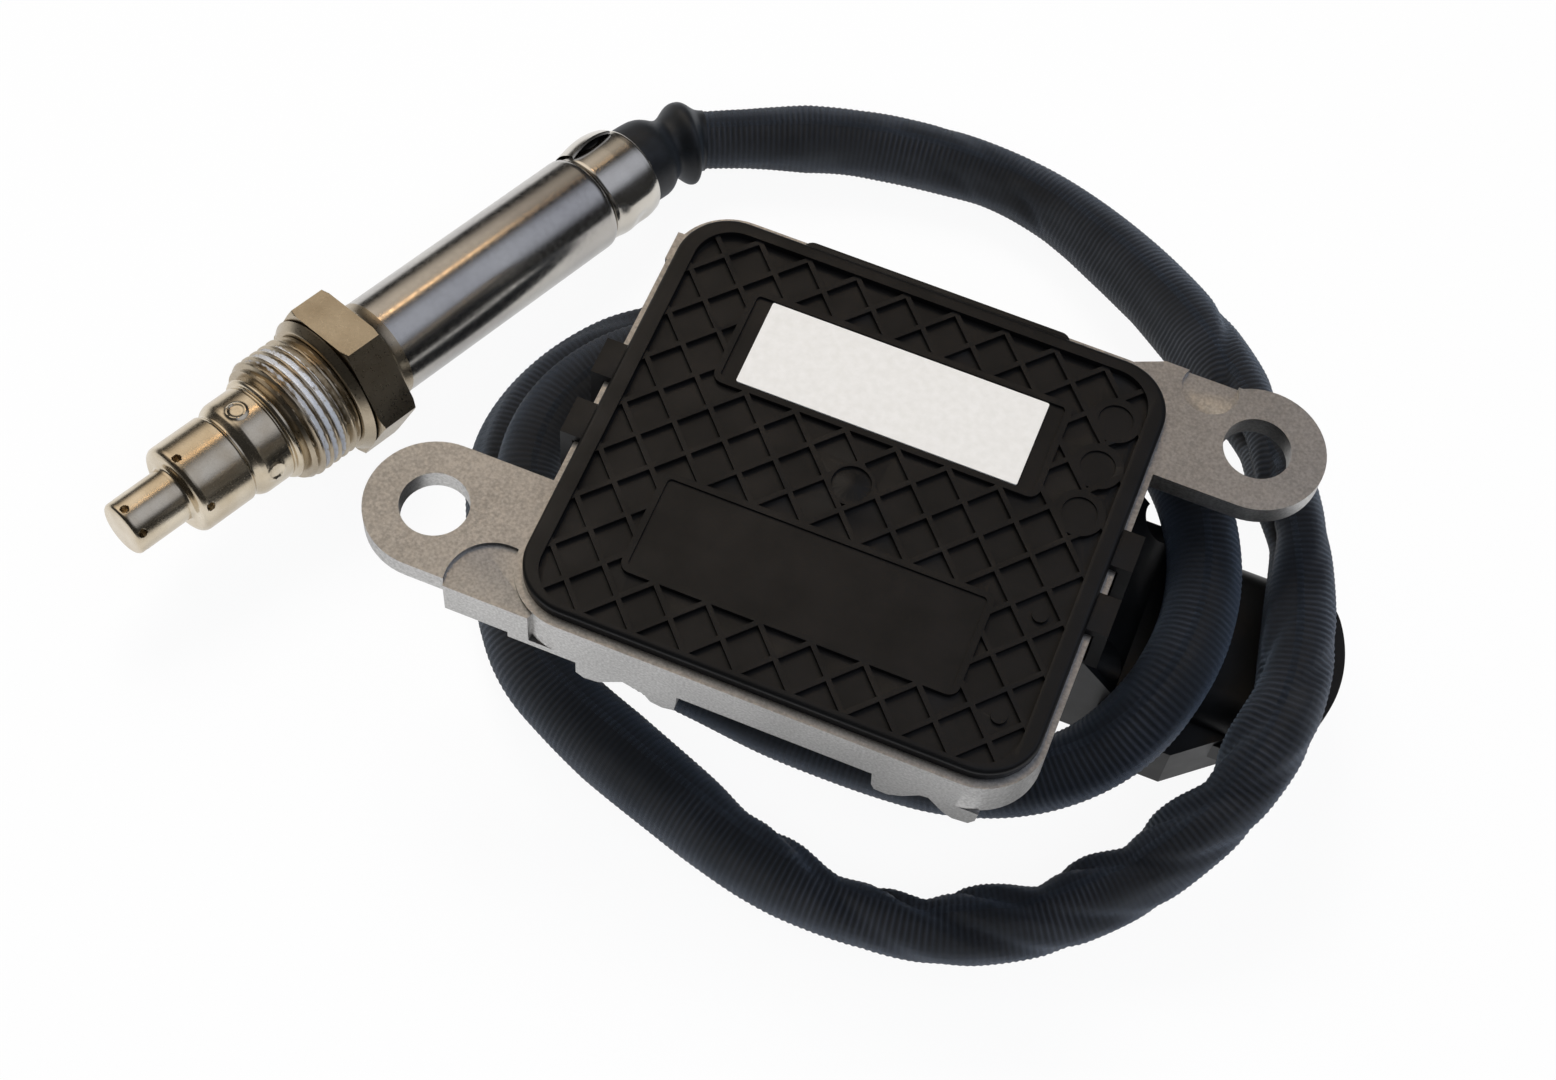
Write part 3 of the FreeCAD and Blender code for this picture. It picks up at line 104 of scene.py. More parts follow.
def plug(tree: bpy.types.NodeTree, node: bpy.types.Node, sockets: Dict[Any, Any]) -> None:
    """Set a node's inputs.

    Args:
        tree: Node tree that holds the node.
        node: Node whose inputs are set.
        sockets: Input name or index to a value, to an output socket, or to a node, which gives the
            first output that it has in use.
    """
    for key, value in sockets.items():
        if isinstance(value, bpy.types.Node):
            value = next(output for output in value.outputs if output.enabled)
        if isinstance(value, bpy.types.NodeSocket):
            tree.links.new(value, node.inputs[key])
        else:
            node.inputs[key].default_value = value


def add(tree: bpy.types.NodeTree, kind: str, sockets: Optional[Dict[Any, Any]] = None,
        stops: Stops = (), **settings: Any) -> bpy.types.Node:
    """Add one node with its settings, inputs, links and colour stops.

    Args:
        tree: Node tree that gets the node.
        kind: Blender's name of the node type, without its first word ShaderNode.
        sockets: Inputs, as plug takes them.
        stops: Position and hex colour, or grey value, of each stop of a colour ramp, in order.
        settings: Attributes of the node.

    Returns:
        The new node.
    """
    node = tree.nodes.new("ShaderNode" + kind)
    for name, value in settings.items():
        setattr(node, name, value)
    plug(tree, node, sockets or {})
    if stops:
        colours = [(place, srgb(tone) if isinstance(tone, str) else grey(tone))
                   for place, tone in stops]
        elements = node.color_ramp.elements
        elements[0].position, elements[0].color = colours[0]
        elements[1].position, elements[1].color = colours[-1]
        for place, colour in colours[1:-1]:
            elements.new(place).color = colour
    return node


@dataclass(frozen=True)
class Finish:
    """Base of all finishes: a material with a principled shader.

    Attributes:
        name: Material name in a maker's plain words.
    """

    name: str

    def material(self) -> bpy.types.Material:
        """Make the material once and return it on every later call.

        Returns:
            The material.
        """
        made = bpy.data.materials.get(self.name)
        if made is not None:
            return made
        made = bpy.data.materials.new(self.name)
        made.use_nodes = True
        tree = made.node_tree
        tree.nodes.clear()
        shader = add(tree, "BsdfPrincipled")
        add(tree, "OutputMaterial", {"Surface": shader})
        self.dress(tree, shader)
        return made

    def dress(self, tree: bpy.types.NodeTree, shader: bpy.types.Node) -> None:
        """Add this finish's nodes to the shader."""
        raise NotImplementedError

    def noise(self, tree: bpy.types.NodeTree, size: float, detail: float) -> bpy.types.Node:
        """Noise over the object's own coordinates.

        Args:
            tree: Node tree that gets the noise.
            size: Size of a feature in metres.
            detail: Octaves of finer noise.

        Returns:
            The noise, with its grey value as its first output.
        """
        where = add(tree, "TexCoord")
        return add(tree, "TexNoise", {"Vector": where.outputs["Object"], "Scale": 1.0 / size,
                                      "Detail": detail})


@dataclass(frozen=True)
class CastAluminium(Finish):
    """Die-cast aluminium, tumbled: a fine grain of matte dimples with brighter specks.

    Attributes:
        dark: Colour of the dimples.
        light: Colour of the specks.
        grain: Size of a dimple, drawn a little coarser than it is, so that it shows.
        cloud: Size of the tumbling's faint clouds.
        depth: Depth of the dimples.
    """

    dark: str = "#B1B0AE"
    light: str = "#CFCECC"
    grain: float = 0.4 * MM
    cloud: float = 9 * MM
    depth: float = 0.02 * MM

    def dress(self, tree: bpy.types.NodeTree, shader: bpy.types.Node) -> None:
        """Grain in the colour, roughness and bump, and a shallow cloudiness.

        Args:
            tree: Node tree of the material.
            shader: Its principled shader.
        """
        grain = self.noise(tree, self.grain, 3.0)
        cloud = self.noise(tree, self.cloud, 2.0)
        mixed = add(tree, "Mix", {"Factor": 0.25, "A": grain, "B": cloud})
        plug(tree, shader, {
            "Base Color": add(tree, "ValToRGB", {"Fac": mixed},
                              ((0.36, self.dark), (0.64, self.light))),
            "Roughness": add(tree, "ValToRGB", {"Fac": grain}, ((0.3, 0.48), (0.75, 0.38))),
            "Metallic": 1.0,
            "Normal": add(tree, "Bump", {"Height": grain, "Distance": self.depth, "Strength": 0.6}),
        })


@dataclass(frozen=True)
class MouldedPlastic(Finish):
    """Glass-filled nylon moulded in a spark-eroded tool: black with a soft even shine.

    Attributes:
        dark: Colour between the flow clouds.
        light: Colour in them.
        roughness: Mean roughness.
        grain: Size of the tool's spark craters.
        cloud: Size of the flow clouds.
        depth: Depth of the craters.
    """

    dark: str = "#090909"
    light: str = "#0E0E0F"
    roughness: float = 0.42
    grain: float = 0.22 * MM
    cloud: float = 6 * MM
    depth: float = 0.02 * MM

    def dress(self, tree: bpy.types.NodeTree, shader: bpy.types.Node) -> None:
        """Fine grain in the bump, faint flow clouds in colour and roughness.

        Args:
            tree: Node tree of the material.
            shader: Its principled shader.
        """
        cloud = self.noise(tree, self.cloud, 3.0)
        grain = self.noise(tree, self.grain, 2.0)
        plug(tree, shader, {
            "Base Color": add(tree, "ValToRGB", {"Fac": cloud},
                              ((0.35, self.dark), (0.7, self.light))),
            "Roughness": add(tree, "ValToRGB", {"Fac": cloud},
                             ((0.3, self.roughness + 0.05), (0.7, self.roughness - 0.05))),
            "IOR": 1.5,
            "Specular IOR Level": 0.35,
            "Normal": add(tree, "Bump", {"Height": grain, "Distance": self.depth, "Strength": 0.6}),
        })


@dataclass(frozen=True)
class MouldedRubber(Finish):
    """Fluoro-rubber, pressed in a smooth tool: black with a bluish satin sheen.

    Attributes:
        dark: Colour between the waves.
        light: Colour on them.
        sheen: Colour of the sheen.
        wave: Size of the skin's soft waves.
        depth: Depth of the waves.
    """

    dark: str = "#0E1012"
    light: str = "#171A1E"
    sheen: str = "#8FA0B4"
    wave: float = 1.6 * MM
    depth: float = 0.05 * MM

    def dress(self, tree: bpy.types.NodeTree, shader: bpy.types.Node) -> None:
        """Soft waviness and a sheen.

        Args:
            tree: Node tree of the material.
            shader: Its principled shader.
        """
        wave = self.noise(tree, self.wave, 3.0)
        plug(tree, shader, {
            "Base Color": add(tree, "ValToRGB", {"Fac": wave},
                              ((0.3, self.dark), (0.75, self.light))),
            "Roughness": 0.5,
            "Sheen Weight": 0.12,
            "Sheen Tint": srgb(self.sheen),
            "Normal": add(tree, "Bump", {"Height": wave, "Distance": self.depth, "Strength": 0.5}),
        })


@dataclass(frozen=True)
class WovenSleeve(Finish):
    """Polyester monofilament sleeve, woven: black with rounded weft ribs and a cool sheen on top.

    The surface carries the weave's own UV map, in metres, and the height of the rib as "rib". The
    colour follows that height as painted light: shade in the valleys, a highlight on the crowns.

    Attributes:
        valley_shade: Painted shade, the colour between two ribs.
        flank_shade: Painted half shade, the colour halfway up a rib.
        crown_highlight: Painted highlight, the colour on top of a rib.
        sheen: Colour of the sheen.
        thread: Length that holds 3.2 threads, so that one is 0.16 mm wide.
        depth: Height of a thread.
        cloud: Size of the clouds of wear.
    """

    valley_shade: str = "#0A0C0F"
    flank_shade: str = "#181C22"
    crown_highlight: str = "#31353D"
    sheen: str = "#93A5BC"
    thread: float = 0.5 * MM
    depth: float = 0.06 * MM
    cloud: float = 7 * MM

    def dress(self, tree: bpy.types.NodeTree, shader: bpy.types.Node) -> None:
        """Colour by rib height, painting shade in the valleys and a highlight on the crowns; thread
        bump along the weave's UV; sheen.

        Args:
            tree: Node tree of the material.
            shader: Its principled shader.
        """
        rib = add(tree, "Attribute", attribute_name="rib")
        cloud = self.noise(tree, self.cloud, 3.0)
        mixed = add(tree, "Mix", {"Factor": 0.35, "A": rib.outputs["Fac"], "B": cloud})
        where = add(tree, "UVMap", uv_map="weave")
        scaled = add(tree, "Mapping", {"Vector": where, "Scale": (1 / self.thread,) * 3})
        threads = add(tree, "TexWave", {"Vector": scaled, "Scale": 1.0, "Distortion": 0.6},
                      bands_direction="Y")
        # The colour by rib height is painted light: shade between the ribs, a highlight on their
        # crowns.
        plug(tree, shader, {
            "Base Color": add(tree, "ValToRGB", {"Fac": mixed},
                              ((0.2, self.valley_shade), (0.55, self.flank_shade), (0.9, self.crown_highlight))),
            "Roughness": add(tree, "ValToRGB", {"Fac": cloud}, ((0.3, 0.62), (0.7, 0.5))),
            "Normal": add(tree, "Bump", {"Height": threads.outputs["Fac"],
                                         "Distance": self.depth, "Strength": 0.6}),
            "Sheen Weight": 0.4,
            "Sheen Roughness": 0.45,
            "Sheen Tint": srgb(self.sheen),
        })


@dataclass(frozen=True)
class Stainless(Finish):
    """Stainless steel, drawn or turned, with the straw tint left by heating.

    Attributes:
        dark: Colour in the tinted clouds.
        light: Colour between them.
        roughness: Mean roughness.
        cloud: Size of the tint's clouds.
        grain: Size of the fine grain; a large value leaves the steel smooth.
        depth: Depth of the grain.
    """

    dark: str = "#9A8468"
    light: str = "#C7B49A"
    roughness: float = 0.24
    cloud: float = 5 * MM
    grain: float = 0.3 * MM
    depth: float = 0.01 * MM

    def dress(self, tree: bpy.types.NodeTree, shader: bpy.types.Node) -> None:
        """Tint clouds in the colour, wear in the roughness and a fine grain.

        Args:
            tree: Node tree of the material.
            shader: Its principled shader.
        """
        cloud = self.noise(tree, self.cloud, 3.0)
        grain = self.noise(tree, self.grain, 2.0)
        plug(tree, shader, {
            "Base Color": add(tree, "ValToRGB", {"Fac": cloud},
                              ((0.35, self.dark), (0.68, self.light))),
            "Roughness": add(tree, "ValToRGB", {"Fac": grain},
                             ((0.3, self.roughness + 0.06), (0.7, self.roughness - 0.04))),
            "Metallic": 1.0,
            "Normal": add(tree, "Bump", {"Height": grain, "Distance": self.depth, "Strength": 0.5}),
        })


@dataclass(frozen=True)
class PastedSteel(Stainless):
    """Turned stainless steel with white anti-seize paste left in the thread's roots.

    The surface carries an attribute "paste" from 0, bare steel, to 1, thick paste.

    Attributes:
        paste: Colour of the paste.
        smear: Size of the paste's ragged edges.
        bias: What is taken off paste times noise.
        edge: Range of that value over which the paste covers the steel.
        matte: Roughness of the paste.
    """

    paste: str = "#D9DADC"
    smear: float = 0.8 * MM
    bias: float = 0.12
    edge: Tuple[float, float] = (0.12, 0.3)
    matte: float = 0.7

    def dress(self, tree: bpy.types.NodeTree, shader: bpy.types.Node) -> None:
        """Steel as its base, then matte paste over it where paste times noise is high enough.

        Args:
            tree: Node tree of the material.
            shader: Its principled shader.
        """
        super().dress(tree, shader)
        steel, rough = [shader.inputs[name].links[0].from_socket
                        for name in ("Base Color", "Roughness")]
        paste = add(tree, "Attribute", attribute_name="paste")
        mask = add(tree, "Math", {0: paste.outputs["Fac"], 1: self.noise(tree, self.smear, 3.0),
                                  2: -self.bias}, operation="MULTIPLY_ADD")
        cover = add(tree, "ValToRGB", {"Fac": mask}, tuple(zip(self.edge, (0.0, 1.0))))
        plug(tree, shader, {
            "Base Color": add(tree, "Mix", {"Factor": cover, "A": steel, "B": srgb(self.paste)},
                              data_type="RGBA"),
            "Roughness": add(tree, "Mix", {"Factor": cover, "A": rough, "B": self.matte}),
            "Metallic": add(tree, "Math", {0: 1.0, 1: cover}, operation="SUBTRACT"),
        })


@dataclass(frozen=True)
class HeatTintedSteel(Stainless):
    """Drawn stainless steel with the brown and blue oxide rings of spot welds, and painted shade in
    its gas holes.

    The surface carries an attribute "heat" from 0, untouched, to 0.85, the middle of a weld, and 1
    in the gas holes, which the finish paints near black as the shade inside them.

    Attributes:
        oxide: Colour of the oxide by the attribute, with near black at 1 as painted shade in the
            gas holes.
    """

    # The last stop, near black at 1, is painted shade inside the gas holes.
    oxide: Tuple[Tuple[float, str], ...] = (
        (0.0, "#FFFFFF"), (0.2, "#C9B6B4"), (0.36, "#8088B4"), (0.5, "#6E4E3A"), (0.68, "#A88A66"),
        (0.85, "#8A7668"), (1.0, "#040404"),
    )

    def dress(self, tree: bpy.types.NodeTree, shader: bpy.types.Node) -> None:
        """Steel as its base, then the oxide's colours, with painted shade in the gas holes,
        multiplied over it by the attribute.

        Args:
            tree: Node tree of the material.
            shader: Its principled shader.
        """
        super().dress(tree, shader)
        steel = shader.inputs["Base Color"].links[0].from_socket
        heat = add(tree, "Attribute", attribute_name="heat")
        oxide = add(tree, "ValToRGB", {"Fac": heat.outputs["Fac"]}, self.oxide)
        plug(tree, shader, {"Base Color": add(tree, "Mix", {"Factor": 1.0, "A": steel, "B": oxide},
                                              data_type="RGBA", blend_type="MULTIPLY")})


@dataclass(frozen=True)
class PlainCoat(Finish):
    """Opaque coat, film or fired surface in two close tones, with a faint bump.

    Attributes:
        dark: Colour between the mottles.
        light: Colour of the mottles.
        roughness: Roughness.
        metallic: 1 for a plated metal, or else 0.
        mottle: Size of a mottle.
        spread: Range of the mottle's value over which the two colours blend.
    """

    dark: str = "#202020"
    light: str = "#2A2A2A"
    roughness: float = 0.5
    metallic: float = 0.0
    mottle: float = 1.0 * MM
    spread: Tuple[float, float] = (0.35, 0.65)

    def dress(self, tree: bpy.types.NodeTree, shader: bpy.types.Node) -> None:
        """Two tones and a faint bump.

        Args:
            tree: Node tree of the material.
            shader: Its principled shader.
        """
        mottle = self.noise(tree, self.mottle, 2.0)
        tones = tuple(zip(self.spread, (self.dark, self.light)))
        plug(tree, shader, {
            "Base Color": add(tree, "ValToRGB", {"Fac": mottle}, tones),
            "Roughness": self.roughness,
            "Metallic": self.metallic,
            "Normal": add(tree, "Bump", {"Height": mottle, "Distance": 0.01 * MM, "Strength": 0.3}),
        })


CASTING = CastAluminium("die-cast aluminium")
LID_PLASTIC = MouldedPlastic("moulded black nylon")
PLUG_PLASTIC = MouldedPlastic("moulded plug nylon", "#0B0C0D", "#121315", 0.4)
# Polyester film gives an even off-white with a faint gloss.
LABEL = PlainCoat("off-white label film", "#DFDDD7", "#E6E4DF", 0.42, 0.0, 1.2 * MM, (0.3, 0.7))
RUBBER = MouldedRubber("black moulded rubber")
# Its colour carries painted shade between the ribs and a painted highlight on their crowns.
SLEEVE = WovenSleeve("woven black sleeve")
TINTED = Stainless("straw-tinted drawn steel", "#CDBBA2", "#DCCDB8", 0.2)
TURNED = PastedSteel("turned steel with paste", "#ADA08B", "#C0B49F", 0.3, grain=0.35 * MM,
                     depth=0.012 * MM)
# Its gas holes are painted near black, as the shade inside them.
WELDED = HeatTintedSteel("straw-tinted steel with weld rings", "#C9BBA3", "#DBD0BC", 0.22)
DRAWN = Stainless("drawn bright steel", "#B3B0AD", "#C4C1BB", 0.2, 14 * MM, 0.8 * MM, 0.001 * MM)
PRESSED = Stainless("pressed bright steel", "#CBC6BD", "#DDD9D1", 0.17, 10 * MM)
# The plating of screws and contacts is bright and evenly mottled.
SCREW = PlainCoat("zinc-plated steel", "#8E8F90", "#B4B4B2", 0.3, 1.0)
CONTACT = PlainCoat("plated contact bronze", "#B39A5C", "#D2BC80", 0.25, 1.0)
# Fired alumina is white and satin, and pressed talc white and chalky.
CERAMIC = PlainCoat("fired alumina", "#D8D4C8", "#E6E3DA", 0.6)
TALC = PlainCoat("pressed talc", "#B9B6AA", "#CBC8BD", 0.9)
# Solder mask shines green, and the chips on it are dull black.
LAMINATE = PlainCoat("solder-masked laminate", "#12401F", "#1A5229", 0.35)
PACKAGE = PlainCoat("moulded chip epoxy", "#1A1A1A", "#232323", 0.55)
JACKET = PlainCoat("lead insulation", "#4C4E52", "#5C5F64", 0.5)

NODE_FINISH: Dict[str, Finish] = {
    "housing": CASTING,
    "cover": LID_PLASTIC,
    "cover_seal": RUBBER,
    "label_plate": LABEL,
    "circuit_board": LAMINATE,
    "board_screws": SCREW,
    "processor_chip": PACKAGE,
    "driver_chips": PACKAGE,
    "power_coil": PACKAGE,
    "capacitors": PACKAGE,
    "connector_housing": PLUG_PLASTIC,
    "connector_seal": RUBBER,
    "connector_pins": CONTACT,
    "connector_screws": SCREW,
    "cable_gland": RUBBER,
    "sensor_leads": JACKET,
    "cable_sleeve": SLEEVE,
    "cable_boot": RUBBER,
    "crimp_collar": PRESSED,
    "crimp_clip": PRESSED,
    "sleeve_tube": DRAWN,
    "sensor_body": TURNED,
    "sealing_washer": TURNED,
    "outer_protection_tube": TINTED,
    "inner_protection_tube": TINTED,
    "sensing_element": CERAMIC,
    "front_insulator": CERAMIC,
    "talc_packing": TALC,
    "rear_insulator": CERAMIC,
    "contact_holder": CERAMIC,
    "contacts": CONTACT,
    "rear_grommet": RUBBER,
    "probe_leads": JACKET,
}


def wear(obj: bpy.types.Object, finish: Finish) -> None:
    """Give an object one finish on all its material slots.

    Args:
        obj: The object.
        finish: The finish.
    """
    made = finish.material()
    if not obj.material_slots:
        obj.data.materials.append(made)
    for slot in obj.material_slots:
        slot.material = made


@dataclass(frozen=True)
class Role:
    """What a new piece is called, which CAD node it stands for and what it wears.

    Attributes:
        name: Name of the piece.
        node: CAD node that it replaces.
        slot: Material slot of the record; not used.
        finish: Finish that it wears.
        crease: Angle in degrees past which an edge stays crisp, or 0 for flat faces.
    """

    name: str
    node: str
    slot: str
    finish: Finish
    crease: float = 40.0

    def take(self, obj: bpy.types.Object) -> bpy.types.Object:
        """Shade and dress a piece, let it stand for its node and ride on the body.

        Args:
            obj: The piece.

        Returns:
            The same piece.
        """
        if self.crease:
            obj.data.shade_smooth()
            obj.data.set_sharp_from_angle(angle=math.radians(self.crease))
        wear(obj, self.finish)
        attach(obj, ROOT)
        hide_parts(self.node)
        return obj

    def mesh(self, points: Grid, closed_u: bool, closed_v: bool,
             capped: bool = False) -> bpy.types.Object:
        """Mesh a grid of points with quads between neighbours, and take this role.

        Args:
            points: Array of rows by columns by three, in metres.
            closed_u: True if the last row joins the first.
            closed_v: True if the last column joins the first.
            capped: True for a fan that closes the first and the last row, round its mean point.

        Returns:
            The new object, linked to the scene.
        """
        rows, columns = points.shape[:2]
        v = np.arange(columns if closed_v else columns - 1)
        uu, vv = np.meshgrid(np.arange(rows if closed_u else rows - 1), v, indexing="ij")
        u2 = (uu + 1) % rows
        v2 = (vv + 1) % columns
        quads = np.stack([uu * columns + vv, uu * columns + v2, u2 * columns + v2,
                          u2 * columns + vv], axis=-1)
        vertices = points.reshape(-1, 3)
        faces = quads.reshape(-1, 4).tolist()
        if capped:
            after = (v + 1) % columns
            last = (rows - 1) * columns
            middle = np.full_like(v, rows * columns)
            vertices = np.vstack([vertices, points[0].mean(axis=0), points[-1].mean(axis=0)])
            faces += np.stack([after, v, middle], axis=-1).tolist()
            faces += np.stack([last + v, last + after, middle + 1], axis=-1).tolist()
        mesh = bpy.data.meshes.new(self.name)
        mesh.from_pydata(vertices.tolist(), [], faces)
        mesh.update()
        made = bpy.data.objects.new(self.name, mesh)
        bpy.context.scene.collection.objects.link(made)
        return self.take(made)


def store(obj: bpy.types.Object, name: str, values: Grid) -> None:
    """Store one value a vertex as an attribute, with 0 on the middles of caps.

    Args:
        obj: Object made from a grid.
        name: Name of the attribute.
        values: One value for each point of the grid.
    """
    padded = np.zeros(len(obj.data.vertices), dtype=np.float32)
    padded[:values.size] = values.ravel()
    obj.data.attributes.new(name, "FLOAT", "POINT").data.foreach_set("value", padded)


def around(segments: int) -> Grid:
    """Evenly spaced angles once round, in radians."""
    return np.linspace(0, 2 * math.pi, segments, endpoint=False)


def wrapped(angle: Grid) -> Grid:
    """Angles brought between minus and plus half a turn."""
    return np.angle(np.exp(1j * angle))


def run_length(points: Grid) -> Grid:
    """Distance along a line at each of its points: the running sum of the steps between them."""
    return np.concatenate([[0.0], np.cumsum(np.linalg.norm(np.diff(points, axis=0), axis=1))])


def resample(points: Grid, count: int) -> Grid:
    """Points at even distances along a line.

    Args:
        points: Corners of the line, one a row.
        count: Number of even points, both ends included.

    Returns:
        Array of count rows, interpolated between the corners.
    """
    run = run_length(points)
    even = np.linspace(0, run[-1], count)
    return np.column_stack([np.interp(even, run, column) for column in points.T])


@dataclass(frozen=True)
class Wander:
    """Smooth random curve round a rest value: random heights every step, joined by a cubic ease.

    Attributes:
        seed: Seed of the random heights.
        step: Distance between random heights.
        swing: Furthest that the curve gets from its rest value.
        rest: Rest value.
    """

    seed: int
    step: float
    swing: float
    rest: float = 0.0

    def at(self, x: Grid) -> Grid:
        """Read the curve.

        Args:
            x: Where to read it, in metres.

        Returns:
            Its values, in the shape of x.
        """
        table = np.random.default_rng(self.seed).uniform(-1.0, 1.0, NOISE_CELLS)
        t = x / self.step
        cell = np.floor(t).astype(int)
        part = t - cell
        ease = part * part * (3 - 2 * part)
        heights = table[cell % NOISE_CELLS] * (1 - ease) + table[(cell + 1) % NOISE_CELLS] * ease
        return self.rest + self.swing * heights


def window(x: Grid, low: float, high: float, edge: float) -> Grid:
    """Soft window: 1 between low and high, easing to 0 over an edge outside them.

    Args:
        x: Where to read the window.
        low: Where it is fully open.
        high: Where it starts to close.
        edge: Width of the ease on each side.

    Returns:
        Values from 0 to 1, in the shape of x.
    """
    rise = np.clip((x - low + edge) / edge, 0, 1)
    fall = np.clip((high + edge - x) / edge, 0, 1)
    both = rise * fall
    return both * both * (3 - 2 * both)


def across(line: Grid) -> Tuple[Grid, Grid, Grid]:
    """Directions along, beside and above a line at each of its points.

    Side is level: the line's direction crossed with the vertical. Up is side crossed with it.

    Args:
        line: Points of the line, one a row.

    Returns:
        Unit vectors along the line, to its side and upwards, one a row.
    """
    along = np.gradient(line, axis=0)
    along /= np.linalg.norm(along, axis=1)[:, None]
    side = np.cross(along, [0.0, 0.0, 1.0])
    side /= np.linalg.norm(side, axis=1)[:, None]
    return along, side, np.cross(side, along)


def sweep(role: Role, line: Grid, angles: Grid, radii: Grid) -> bpy.types.Object:
    """Closed tube round a line, kept above the floor.

    A point is the line's point plus the radius times up times the cosine of the angle plus side
    times its sine.

    Args:
        role: What the tube stands for.
        line: Points of the line, one a row.
        angles: Angles round it.
        radii: Radius at each point and angle.

    Returns:
        The new object.
    """
    _, side, up = across(line)
    ring = (up[:, None, :] * np.cos(angles)[:, None] + side[:, None, :] * np.sin(angles)[:, None])
    points = line[:, None, :] + ring * radii[..., None]
    points[..., 2] = np.maximum(points[..., 2], FLOOR_Z + FLOOR_GAP)
    tube = role.mesh(points, False, True, True)
    tube.data.flip_normals()
    return tube


@dataclass
class ProbeAxis:
    """The probe's axis, with its own local frame: up, side and along.

    Attributes:
        tip: Point at the probe's tip.
        heading: Direction in the floor plane, from +X, in degrees.
        tilt: Slope of the axis, in degrees.
    """

    tip: Point = (-44.7 * MM, -11.2 * MM, FLOOR_Z + 16.3 * MM)
    heading: float = 67.46
    tilt: float = -4.92

    def frame(self) -> Tuple[Grid, Grid, Grid]:
        """Work out the local frame: up is the vertical less its share along the axis.

        Returns:
            Unit vectors up, side and along.
        """
        h = math.radians(self.heading)
        t = math.radians(self.tilt)
        along = np.array([math.cos(t) * math.cos(h), math.cos(t) * math.sin(h), math.sin(t)])
        up = np.array([0.0, 0.0, 1.0]) - along * along[2]
        up /= np.linalg.norm(up)
        return up, np.cross(along, up), along

    def at(self, station: float) -> Grid:
        """Point on the axis at a station from the tip."""
        return np.array(self.tip) + self.frame()[2] * station

    def wrap(self, stations: Grid, angles: Grid, radii: Grid) -> Grid:
        """Points on a surface round the axis: station along it, then radius at the angle.

        Args:
            stations: Distance along the axis of each grid point.
            angles: Angle of each grid point from the upper side, in radians.
            radii: Distance from the axis of each grid point.

        Returns:
            Array of points in the part's frame.
        """
        up, side, along = self.frame()
        return (np.array(self.tip) + along * stations[..., None]
                + radii[..., None] * (up * np.cos(angles)[..., None]
                                      + side * np.sin(angles)[..., None]))


